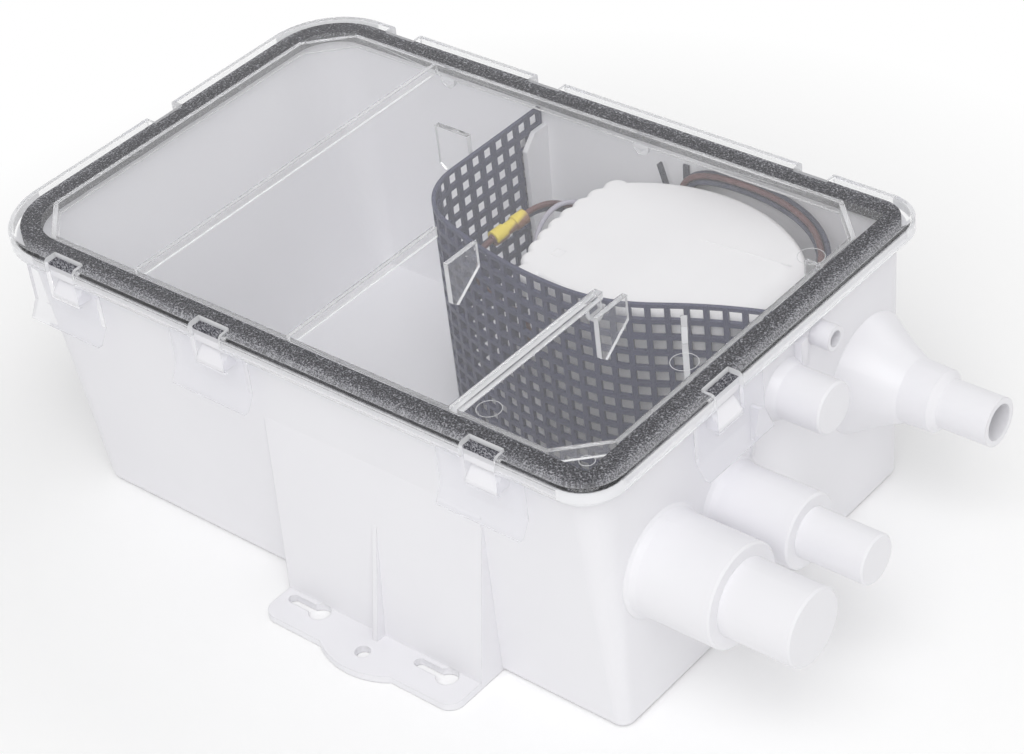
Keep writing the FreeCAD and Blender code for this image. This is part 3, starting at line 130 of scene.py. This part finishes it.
def mouldedPlastic(name, look):
    material, tree, output, coords = newTree(name)
    shader = tree.nodes.new("ShaderNodeBsdfPrincipled")
    shader.inputs["IOR"].default_value = plastic["ior"]
    shader.inputs["Specular IOR Level"].default_value = look.get("shine", plastic["shine"])
    mottle = noiseOn(tree, coords, look["mottleScale"], 4.0)
    # Painted shade: where the look gives a band, the colour turns from the pale tone to the deep tone lower
    # down (along Z, leaning with Y), standing in for the shade under the part
    if "paintedShadeFrom" in look:
        parts = tree.nodes.new("ShaderNodeSeparateXYZ")
        tree.links.new(coords, parts.inputs["Vector"])
        height = mathOn(tree, "MULTIPLY_ADD", parts.outputs["Y"], -look["lean"], parts.outputs["Z"])
        level = rangeOn(tree, height, 0.0, 1.0, look["paintedShadeFrom"], look["paintedShadeTo"])
        shade = mathOn(tree, "MULTIPLY", level, 1.0 - look["mottleShare"])
        mottle = mathOn(tree, "MULTIPLY_ADD", mottle, look["mottleShare"], shade)
    colour = rampOn(tree, mottle, list(zip(plastic["mottleBand"], (look["deep"], look["pale"]))))
    tree.links.new(colour, shader.inputs["Base Color"])
    smudge = noiseOn(tree, coords, look["smudgeScale"], 5.0, 0.6)
    tree.links.new(rangeOn(tree, smudge, *look["roughness"]), shader.inputs["Roughness"])
    grain = noiseOn(tree, coords, look["grainScale"], 2.0)
    edges = roundedEdges(tree, look["edgeRound"]) if look["edgeRound"] else None
    normal = bumpOn(tree, grain, look["grainDepth"], 1.0, edges)
    tree.links.new(normal, shader.inputs["Normal"])
    tree.links.new(shader.outputs["BSDF"], output.inputs["Surface"])
    return material


def clearPlastic(name, look):
    material, tree, output, coords = newTree(name)
    glass = tree.nodes.new("ShaderNodeBsdfPrincipled")
    glass.inputs["Base Color"].default_value = (*look["tint"], 1.0)
    glass.inputs["Transmission Weight"].default_value = look["clear"]
    glass.inputs["IOR"].default_value = look["ior"]
    glass.inputs["Specular IOR Level"].default_value = look["shine"]
    haze = noiseOn(tree, coords, look["hazeScale"], 5.0, 0.6)
    tree.links.new(rangeOn(tree, haze, *look["roughness"]), glass.inputs["Roughness"])
    wave = noiseOn(tree, coords, look["waveScale"], 2.0)
    edges = roundedEdges(tree, look["edgeRound"]) if look["edgeRound"] else None
    normal = bumpOn(tree, wave, look["waveDepth"], 1.0, edges)
    tree.links.new(normal, glass.inputs["Normal"])
    clear = tree.nodes.new("ShaderNodeBsdfTransparent")
    clear.inputs["Color"].default_value = (*look["tint"], 1.0)
    path = tree.nodes.new("ShaderNodeLightPath")
    mix = tree.nodes.new("ShaderNodeMixShader")
    through = mathOn(tree, "MAXIMUM", path.outputs["Is Shadow Ray"], path.outputs["Is Diffuse Ray"])
    tree.links.new(through, mix.inputs["Fac"])
    tree.links.new(glass.outputs["BSDF"], mix.inputs[1])
    tree.links.new(clear.outputs["BSDF"], mix.inputs[2])
    tree.links.new(mix.outputs["Shader"], output.inputs["Surface"])
    return material


# Foam with a felted skin: a fine charcoal grain, and pale hairs that lie across the band at its edge; that
# pale band is partly lint and partly a painted reflection of the lid's rounded lip
def feltedFoam(name, look):
    material, tree, output, coords = newTree(name)
    shader = tree.nodes.new("ShaderNodeBsdfPrincipled")
    shader.inputs["Specular IOR Level"].default_value = look["shine"]
    cells = tree.nodes.new("ShaderNodeTexVoronoi")
    cells.inputs["Scale"].default_value = look["cellScale"]
    tree.links.new(coords, cells.inputs["Vector"])
    specks = noiseOn(tree, coords, look["speckScale"], 4.0, 0.75)
    grain = mathOn(tree, "MULTIPLY_ADD", cells.outputs["Distance"], look["cellShare"], specks)
    parts = tree.nodes.new("ShaderNodeSeparateXYZ")
    tree.links.new(coords, parts.inputs["Vector"])
    lintAndSheenFringe = None
    for axis, edge, stretch in (("X", look["edgeX"], look["hairsX"]), ("Y", look["edgeY"], look["hairsY"])):
        hairs = noiseOn(tree, stretchedOn(tree, coords, stretch), look["hairScale"], 3.0, 0.7)
        aside = mathOn(tree, "SUBTRACT", parts.outputs[axis], look["middle" + axis])
        away = mathOn(tree, "ABSOLUTE", aside, 0.0)
        near = rangeOn(tree, away, 0.0, 1.0, edge - look["lintAndSheenFringe"], edge)
        share = mathOn(tree, "MULTIPLY", hairs, near)
        lintAndSheenFringe = share if lintAndSheenFringe is None else mathOn(tree, "MAXIMUM", lintAndSheenFringe, share)
    # The pale edge band: lint hairs, partly a painted reflection of the lid's lip
    both = mathOn(tree, "MULTIPLY_ADD", lintAndSheenFringe, look["lintAndSheenWeight"], grain)
    colour = rampOn(tree, both, look["stops"])
    tree.links.new(colour, shader.inputs["Base Color"])
    shader.inputs["Roughness"].default_value = look["roughness"]
    normal = bumpOn(tree, both, look["depth"])
    tree.links.new(normal, shader.inputs["Normal"])
    tree.links.new(shader.outputs["BSDF"], output.inputs["Surface"])
    return material


def brushedMetal(name, look):
    material, tree, output, coords = newTree(name)
    shader = tree.nodes.new("ShaderNodeBsdfPrincipled")
    shader.inputs["Metallic"].default_value = 1.0
    shader.inputs["Anisotropic"].default_value = look["anisotropy"]
    along = stretchedOn(tree, coords, look["stretch"])
    scratch = noiseOn(tree, along, look["scratchScale"], 4.0)
    colour = rampOn(tree, scratch, list(zip(look["scratchBand"], (look["deep"], look["pale"]))))
    tree.links.new(colour, shader.inputs["Base Color"])
    tree.links.new(rangeOn(tree, scratch, *look["roughness"]), shader.inputs["Roughness"])
    tree.links.new(bumpOn(tree, scratch, look["scratchDepth"]), shader.inputs["Normal"])
    tree.links.new(shader.outputs["BSDF"], output.inputs["Surface"])
    return material


plastic = {"ior": 1.49, "shine": 0.5, "mottleBand": (0.32, 0.68)}
tubLook = {
    "pale": (0.864, 0.860, 0.886), "deep": (0.832, 0.826, 0.856), "mottleScale": 9.0,
    "roughness": (0.30, 0.44), "smudgeScale": 45.0,
    "grainScale": 750.0, "grainDepth": 0.000012, "edgeRound": 0.0005,
}
pumpLook = {
    "pale": (0.905, 0.895, 0.910), "deep": (0.874, 0.862, 0.880), "mottleScale": 22.0,
    "roughness": (0.36, 0.50), "smudgeScale": 70.0,
    "grainScale": 1600.0, "grainDepth": 0.000014, "edgeRound": 0.0004,
}
sheetLook = {
    "pale": (0.056, 0.060, 0.122), "deep": (0.036, 0.039, 0.088), "mottleScale": 30.0,
    "roughness": (0.34, 0.52), "smudgeScale": 120.0, "shine": 0.3,
    "grainScale": 1800.0, "grainDepth": 0.000012, "edgeRound": 0.0002,
}
nylonLook = {
    "pale": (0.075, 0.078, 0.105), "deep": (0.045, 0.047, 0.066), "mottleScale": 60.0,
    "roughness": (0.34, 0.50), "smudgeScale": 150.0,
    "grainScale": 2000.0, "grainDepth": 0.000010, "edgeRound": 0.0002,
}
rubberLook = {
    "pale": (0.040, 0.040, 0.043), "deep": (0.022, 0.022, 0.024), "mottleScale": 80.0,
    "roughness": (0.55, 0.75), "smudgeScale": 200.0,
    "grainScale": 2400.0, "grainDepth": 0.000030, "edgeRound": 0.0003,
}
# The yellow sleeve's deep tone is brown and is painted low on it as painted shade under the sleeve
vinylLook = {
    "pale": (0.780, 0.620, 0.070), "deep": (0.260, 0.130, 0.085), "mottleScale": 130.0,
    "paintedShadeFrom": 0.0862, "paintedShadeTo": 0.0886, "lean": 0.34, "mottleShare": 0.3,
    "roughness": (0.22, 0.36), "smudgeScale": 260.0,
    "grainScale": 900.0, "grainDepth": 0.000040, "edgeRound": 0.0005,
}
leadLooks = {
    "black": {"pale": (0.052, 0.054, 0.100), "deep": (0.024, 0.026, 0.055)},
    "red": {"pale": (0.300, 0.048, 0.055), "deep": (0.180, 0.028, 0.034)},
    "brown": {"pale": (0.150, 0.060, 0.062), "deep": (0.080, 0.032, 0.038)},
    "grey": {"pale": (0.450, 0.430, 0.500), "deep": (0.360, 0.345, 0.410)},
}
leadFinish = {
    "mottleScale": 90.0, "roughness": (0.24, 0.38), "smudgeScale": 240.0,
    "grainScale": 1300.0, "grainDepth": 0.000016, "edgeRound": 0.0,
}
lidLook = {
    "tint": (0.998, 0.999, 1.000), "clear": 1.0, "ior": 1.49, "shine": 0.28, "hazeScale": 35.0,
    "roughness": (0.012, 0.035), "waveScale": 16.0, "waveDepth": 0.00012, "edgeRound": 0.0004,
}
# Painted highlight: the ribs, the narrow edges and the latches take a share of milky white, most on the
# edges, standing in for the light caught along them
ribLook = {**lidLook, "clear": 0.93, "ior": 1.40}
paintedHighlightEdgeLook = {**lidLook, "tint": (0.880, 0.882, 0.900), "clear": 0.25, "ior": 1.40}
latchLook = {**lidLook, "tint": (0.955, 0.955, 0.970), "clear": 0.88, "ior": 1.10, "edgeRound": 0.0003}
sealLook = {
    "cellScale": 1500.0, "cellShare": 0.35, "speckScale": 1800.0, "depth": 0.00035,
    "shine": 0.25, "roughness": 0.95,
    "middleX": 0.00025, "middleY": 0.0, "edgeX": 0.1448, "edgeY": 0.0941, "lintAndSheenFringe": 0.0034,
    "hairsX": (0.3, 1.0, 1.0), "hairsY": (1.0, 0.3, 1.0), "hairScale": 1500.0, "lintAndSheenWeight": 0.20,
    "stops": [(0.52, (0.007, 0.007, 0.010)), (0.66, (0.030, 0.030, 0.040)),
              (0.77, (0.110, 0.110, 0.130)), (0.90, (0.440, 0.440, 0.470))],
}
steelLook = {
    "pale": (0.62, 0.62, 0.64), "deep": (0.46, 0.46, 0.48), "roughness": (0.22, 0.38),
    "stretch": (1.0, 1.0, 0.06), "scratchScale": 900.0, "scratchBand": (0.3, 0.7),
    "scratchDepth": 0.000004, "anisotropy": 0.4,
}

whiteTub = mouldedPlastic("white_tub", tubLook)
pumpWhite = mouldedPlastic("pump_white", pumpLook)
slatePlastic = mouldedPlastic("slate_plastic", sheetLook)
blackNylon = mouldedPlastic("black_nylon", nylonLook)
blackRubber = mouldedPlastic("black_rubber", rubberLook)
yellowVinyl = mouldedPlastic("yellow_vinyl", vinylLook)
leadPlastics = {shade: mouldedPlastic(shade + "_wire", {**leadFinish, **look})
                for shade, look in leadLooks.items()}
clearLid = clearPlastic("clear_plastic", lidLook)
clearRibs = clearPlastic("clear_ribs", ribLook)
paintedHighlightEdges = clearPlastic("clear_painted_highlight_edges", paintedHighlightEdgeLook)
clearLatches = clearPlastic("clear_latches", latchLook)
foamSeal = feltedFoam("foam_seal", sealLook)
motorSteel = brushedMetal("motor_steel", steelLook)
shaftSteel = brushedMetal("shaft_steel", {**steelLook, "roughness": (0.14, 0.26)})

materialOfSlot = {
    "white_tub": whiteTub, "clear_plastic": clearLid, "foam_seal": foamSeal,
    "slate_plastic": slatePlastic, "pump_white": pumpWhite, "motor_steel": motorSteel,
    "shaft_steel": shaftSteel, "black_rubber": blackRubber, "black_nylon": blackNylon,
    "yellow_vinyl": yellowVinyl, "black_wire": leadPlastics["black"],
    "red_wire": leadPlastics["red"], "brown_wire": leadPlastics["brown"],
    "grey_wire": leadPlastics["grey"],
}


def setMaterial(piece, material):
    piece.data.materials.clear()
    piece.data.materials.append(material)


for part in frame["record"]["subparts"]:
    isLatch = part["node"].startswith("latch_")
    setMaterial(nodes[part["node"]], clearLatches if isLatch else materialOfSlot[part["material_slot"]])

# The lid's ribs, fins and skirt get a share of milky white, most on their narrow faces: painted highlight
# for the light the clear plastic catches along them
ribZone = {"under": 0.11395, "narrow": 0.0024, "upright": 0.2}
lidMesh = nodes["lid"].data
lidMesh.materials.append(clearRibs)
lidMesh.materials.append(paintedHighlightEdges)
for face in lidMesh.polygons:
    corners = [lidMesh.vertices[index].co for index in face.vertices]
    longest = max((after - before).length for before, after in zip(corners, corners[1:] + corners[:1]))
    if face.center.z < ribZone["under"]:
        face.material_index = 2 if 2 * face.area / longest < ribZone["narrow"] else 1
    elif abs(face.normal.z) < ribZone["upright"]:
        face.material_index = 2  # the cut edges of the plate
print("materials made and given to the packed nodes")


# New pieces
def pieceFrom(bm, name, slotName, body):
    mesh = bpy.data.meshes.new(name)
    bm.to_mesh(mesh)
    bm.free()
    piece = bpy.data.objects.new(name, mesh)
    bpy.context.scene.collection.objects.link(piece)
    setMaterial(piece, materialOfSlot[slotName])
    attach(piece, body)
    return piece


# Leads, along the same routes as in the CAD source, in metres
leadRoutes = {
    "bundle": [(0.0465, 0.0839, 0.0800), (0.0465, 0.0839, 0.0970), (0.0585, 0.0863, 0.1052),
               (0.0950, 0.0862, 0.1048), (0.1205, 0.0745, 0.1025), (0.1320, 0.0520, 0.0985),
               (0.1324, 0.0375, 0.0870), (0.1324, 0.0375, 0.0720)],
    "feed": [(0.0390, 0.0815, 0.0745), (0.0300, 0.0815, 0.0745), (0.0230, 0.0740, 0.0800),
             (0.0145, 0.0580, 0.0905), (0.0094, 0.0457, 0.0981), (0.0080, 0.0368, 0.0970)],
    "drop": [(0.0055, 0.0208, 0.0950), (0.0036, 0.0090, 0.0935), (0.0099, 0.0062, 0.0834),
             (0.0193, 0.0094, 0.0750), (0.0232, 0.0155, 0.0705), (0.0232, 0.0155, 0.0580)],
    "grey": [(0.0390, 0.0782, 0.0690), (0.0292, 0.0782, 0.0690), (0.0240, 0.0690, 0.0820),
             (0.0203, 0.0590, 0.0950), (0.0166, 0.0470, 0.1004), (0.0172, 0.0340, 0.0980),
             (0.0210, 0.0245, 0.0885), (0.0226, 0.0213, 0.0750), (0.0226, 0.0213, 0.0580)],
}
leadSizes = {"bundleStep": 0.0026, "diameter": 0.0024, "thinDiameter": 0.0020,
             "stepsAlong": 10, "stepsRound": 3}
leadList = [
    ("lead_black_top", "wire_black_top", "bundle", 1, 1, 0.157, "black_wire", "bare"),
    ("lead_black_low", "wire_black_low", "bundle", -1, -1, 0.146, "black_wire", "bare"),
    ("lead_red", "wire_red", "bundle", 1, -1, 0.148, "red_wire", "bare"),
    ("lead_brown", "wire_brown", "bundle", -1, 1, 0.155, "brown_wire", "bare"),
    ("lead_feed_black", "wire_feed_black", "feed", 0, 1, 0.065, "black_wire", "object"),
    ("lead_feed_brown", "wire_feed_brown", "feed", 0, -1, 0.065, "brown_wire", "object"),
    ("lead_drop", "wire_drop", "drop", 0, 0, 0.055, "brown_wire", "object"),
    ("lead_grey", "wire_grey", "grey", 0, 0, 0.112, "grey_wire", "object"),
]


# The same route moved sideways, measured from its first run
def beside(points, across, up):
    runs = [(after - before).normalized() for before, after in zip(points, points[1:])]
    sideways = runs[0].cross(Vector((0, 1, 0))).normalized()
    offset = Vector((0, 1, 0)) * across + sideways * up
    moved = [points[0] + offset]
    for corner, arriving, leaving in zip(points[1:], runs, runs[1:]):
        middle = arriving + leaving
        offset = offset - arriving * (offset.dot(middle) / arriving.dot(middle))
        moved.append(corner + offset)
        offset = offset - leaving * offset.dot(leaving)
    return moved + [points[-1] + offset]


def leadCord(name, node, points, diameter, slotName):
    curve = bpy.data.curves.new(name, "CURVE")
    curve.dimensions = "3D"
    spline = curve.splines.new("NURBS")
    spline.points.add(len(points) - 1)
    for control, place in zip(spline.points, points):
        control.co = (*place, 1.0)
    spline.order_u = 3
    spline.use_endpoint_u = True
    spline.resolution_u = leadSizes["stepsAlong"]
    curve.bevel_depth = diameter / 2
    curve.bevel_resolution = leadSizes["stepsRound"]
    curve.use_fill_caps = True
    cordPiece = bpy.data.objects.new(name, curve)
    bpy.context.scene.collection.objects.link(cordPiece)
    curve.materials.append(materialOfSlot[slotName])
    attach(cordPiece, "tub")
    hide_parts(node)
    return cordPiece


for name, node, route, column, row, length, slotName, farEnd in leadList:
    points = [Vector(place) for place in leadRoutes[route]]
    if column or row:
        half = leadSizes["bundleStep"] / 2
        points = beside(points, column * half, row * half)
    size = leadSizes["thinDiameter"] if route == "grey" else leadSizes["diameter"]
    leadCord(name, node, points, size, slotName)
print("leads made")


# Marks that the mould left: rings on the underside of the lid
ringLook = {
    "under": 0.1140, "wire": 0.00013, "sides": 8, "steps": 48, "mergeWithin": 0.00001,
    "places": [(0.0890, -0.0780, 0.0045), (0.1340, -0.0820, 0.0027), (0.1290, -0.0225, 0.0050),
               (0.1300, 0.0510, 0.0050)],
}
marks = bmesh.new()
for x, y, radius in ringLook["places"]:
    start = Matrix.Translation((x + radius, y, ringLook["under"]))
    section = bmesh.ops.create_circle(
        marks, cap_ends=False, segments=ringLook["sides"], radius=ringLook["wire"],
        matrix=start @ Matrix.Rotation(math.pi / 2, 4, "X"),
    )
    edges = list({edge for vert in section["verts"] for edge in vert.link_edges})
    bmesh.ops.spin(marks, geom=section["verts"] + edges, cent=(x, y, ringLook["under"]),
                   axis=(0, 0, 1), angle=math.tau, steps=ringLook["steps"], use_merge=True)
bmesh.ops.remove_doubles(marks, verts=marks.verts, dist=ringLook["mergeWithin"])
bmesh.ops.recalc_face_normals(marks, faces=marks.faces)
lidRings = pieceFrom(marks, "lid_ejector_rings", "clear_plastic", "lid")
# The rings take the milky painted-highlight material of the edges
setMaterial(lidRings, paintedHighlightEdges)
for face in lidRings.data.polygons:
    face.use_smooth = True
print("lid marks made")


# The brown lead's thick jacket, seen in the open end of the yellow sleeve
jacket = {
    "start": (0.00555, 0.02110, 0.09504), "end": (0.00538, 0.02000, 0.09490),
    "radius": 0.0022, "endRadius": 0.00176, "sides": 24, "edge": 0.0001,
}
jacketStart, jacketEnd = Vector(jacket["start"]), Vector(jacket["end"])
jacketRun = jacketEnd - jacketStart
jacketTurn = jacketRun.to_track_quat("Z", "Y").to_matrix().to_4x4()
jacketMesh = bmesh.new()
bmesh.ops.create_cone(
    jacketMesh, cap_ends=True, segments=jacket["sides"], radius1=jacket["radius"],
    radius2=jacket["endRadius"], depth=jacketRun.length,
    matrix=Matrix.Translation((jacketStart + jacketEnd) / 2) @ jacketTurn,
)
bmesh.ops.bevel(jacketMesh, geom=jacketMesh.edges[:], offset=jacket["edge"], affect="EDGES",
                segments=2, profile=0.5, material=-1)
pieceFrom(jacketMesh, "lead_jacket", "brown_wire", "tub")


# Faint moulded marks on the pump's cover: a bead over the nose and a small square
coverMarks = {
    "top": 0.1010, "height": 0.00012, "bead": [(0.0790, 0.0545), (0.1165, 0.0575)], "beadWidth": 0.0007,
    "squareMiddle": (0.0385, 0.0200), "squareSide": 0.0042, "squareLine": 0.0004, "edge": 0.00004,
}


def slab(bm, middle, along, length, width, top, height):
    across = Vector((-along.y, along.x))
    corners = [middle + along * (length / 2 * a) + across * (width / 2 * b)
               for a, b in ((-1, -1), (1, -1), (1, 1), (-1, 1))]
    low = [bm.verts.new((corner.x, corner.y, top - height)) for corner in corners]
    high = [bm.verts.new((corner.x, corner.y, top + height)) for corner in corners]
    bm.faces.new(list(reversed(low)))
    bm.faces.new(high)
    for index in range(4):
        after = (index + 1) % 4
        bm.faces.new((low[index], low[after], high[after], high[index]))


moulded = bmesh.new()
beadStart, beadEnd = (Vector(place) for place in coverMarks["bead"])
beadRun = beadEnd - beadStart
slab(moulded, (beadStart + beadEnd) / 2, beadRun.normalized(), beadRun.length, coverMarks["beadWidth"],
     coverMarks["top"], coverMarks["height"])
for heading in range(4):
    outward = Vector((math.cos(heading * math.pi / 2), math.sin(heading * math.pi / 2)))
    middle = Vector(coverMarks["squareMiddle"]) + outward * coverMarks["squareSide"] / 2
    length = coverMarks["squareSide"] + (1 if heading % 2 else -1) * coverMarks["squareLine"]
    slab(moulded, middle, Vector((-outward.y, outward.x)), length, coverMarks["squareLine"],
         coverMarks["top"], coverMarks["height"])
bmesh.ops.bevel(moulded, geom=moulded.edges[:], offset=coverMarks["edge"], affect="EDGES",
                segments=1, profile=0.5, material=-1)
bmesh.ops.recalc_face_normals(moulded, faces=moulded.faces)
pieceFrom(moulded, "cover_marks", "pump_white", "tub")
print("cover marks made")


# Camera, at the photograph's place
cameraSetup = {
    "place": (0.597208, -0.592625, 0.666216),
    "right": (0.76653563, 0.63424167, -0.10079995),
    "down": (0.32081285, -0.51414957, -0.79544286),
    "forward": (-0.55632926, 0.57739737, -0.59758684),
    "lens": 95.68, "sensorWidth": 36.0, "clipStart": 0.01,
}
cameraData = bpy.data.cameras.new("camera")
cameraData.lens = cameraSetup["lens"]
cameraData.sensor_fit = "HORIZONTAL"
cameraData.sensor_width = cameraSetup["sensorWidth"]
cameraData.clip_start = cameraSetup["clipStart"]
camera = bpy.data.objects.new("camera", cameraData)
bpy.context.scene.collection.objects.link(camera)
turn = Matrix((Vector(cameraSetup["right"]), -Vector(cameraSetup["down"]),
               -Vector(cameraSetup["forward"]))).transposed()
camera.matrix_world = Matrix.Translation(cameraSetup["place"]) @ turn.to_4x4()
bpy.context.scene.camera = camera


# Floor and light, with the floor turning into the white background further out
floorLook = {
    "size": 6.0, "level": -0.0002, "colour": (0.985, 0.985, 0.985),
    "mottleScale": 3.0, "mottle": 0.01, "roughness": 0.9,
    "fadeFrom": 0.18, "fadeTo": 0.34, "bounce": 0.0, "mottleBand": (0.3, 0.7),
}
floorMesh = bmesh.new()
bmesh.ops.create_grid(floorMesh, x_segments=1, y_segments=1, size=floorLook["size"] / 2,
                      matrix=Matrix.Translation((0, 0, floorLook["level"])))
floorData = bpy.data.meshes.new("floor")
floorMesh.to_mesh(floorData)
floorMesh.free()
floor = bpy.data.objects.new("floor", floorData)
bpy.context.scene.collection.objects.link(floor)
floorMaterial, floorTree, floorOutput, floorCoords = newTree("studio_floor")
floorShader = floorTree.nodes.new("ShaderNodeBsdfPrincipled")
floorShader.inputs["Roughness"].default_value = floorLook["roughness"]
floorShader.inputs["Specular IOR Level"].default_value = floorLook["bounce"]
floorPale = tuple(channel + floorLook["mottle"] for channel in floorLook["colour"])
floorBand = zip(floorLook["mottleBand"], (floorLook["colour"], floorPale))
floorMottle = noiseOn(floorTree, floorCoords, floorLook["mottleScale"])
floorShade = rampOn(floorTree, floorMottle, list(floorBand))
floorTree.links.new(floorShade, floorShader.inputs["Base Color"])
floorWhite = floorTree.nodes.new("ShaderNodeEmission")
floorWhite.inputs["Color"].default_value = (1.0, 1.0, 1.0, 1.0)
floorWhite.inputs["Strength"].default_value = 1.0
floorOut = floorTree.nodes.new("ShaderNodeVectorMath")
floorOut.operation = "LENGTH"
floorTree.links.new(floorCoords, floorOut.inputs[0])
floorFar = rangeOn(floorTree, floorOut.outputs["Value"], 0.0, 1.0,
                   floorLook["fadeFrom"], floorLook["fadeTo"])
floorMix = floorTree.nodes.new("ShaderNodeMixShader")
floorTree.links.new(mathOn(floorTree, "MULTIPLY", floorFar, seenOn(floorTree)), floorMix.inputs["Fac"])
floorTree.links.new(floorShader.outputs["BSDF"], floorMix.inputs[1])
floorTree.links.new(floorWhite.outputs["Emission"], floorMix.inputs[2])
floorTree.links.new(floorMix.outputs["Shader"], floorOutput.inputs["Surface"])
setMaterial(floor, floorMaterial)

studio = {
    "worldStrength": 0.55, "background": 1.0, "aim": (0.0, 0.0, 0.06),
    "lamps": [("key_lamp", (0.66, -0.92, 1.45), 1.4, 15.5), ("fill_lamp", (1.7, 0.5, 0.9), 1.2, 0.6),
              ("back_lamp", (0.8, 1.5, 1.3), 1.0, 4.0)],
}
world = bpy.data.worlds.new("studio")
bpy.context.scene.world = world
world.use_nodes = True
worldTree = world.node_tree
worldTree.nodes.clear()
worldOutput = worldTree.nodes.new("ShaderNodeOutputWorld")
worldLight = worldTree.nodes.new("ShaderNodeBackground")
worldLight.inputs["Color"].default_value = (1.0, 1.0, 1.0, 1.0)
worldLight.inputs["Strength"].default_value = studio["worldStrength"]
worldWhite = worldTree.nodes.new("ShaderNodeBackground")
worldWhite.inputs["Color"].default_value = (1.0, 1.0, 1.0, 1.0)
worldWhite.inputs["Strength"].default_value = studio["background"]
worldMix = worldTree.nodes.new("ShaderNodeMixShader")
worldTree.links.new(seenOn(worldTree), worldMix.inputs["Fac"])
worldTree.links.new(worldLight.outputs["Background"], worldMix.inputs[1])
worldTree.links.new(worldWhite.outputs["Background"], worldMix.inputs[2])
worldTree.links.new(worldMix.outputs["Shader"], worldOutput.inputs["Surface"])
for lampName, place, size, power in studio["lamps"]:
    lampData = bpy.data.lights.new(lampName, "AREA")
    lampData.shape = "SQUARE"
    lampData.size = size
    lampData.energy = power
    lamp = bpy.data.objects.new(lampName, lampData)
    bpy.context.scene.collection.objects.link(lamp)
    lamp.location = place
    lamp.rotation_mode = "QUATERNION"
    lamp.rotation_quaternion = (Vector(studio["aim"]) - Vector(place)).to_track_quat("-Z", "Y")
bpy.context.scene.view_settings.view_transform = "Standard"
print("camera, floor and light made")
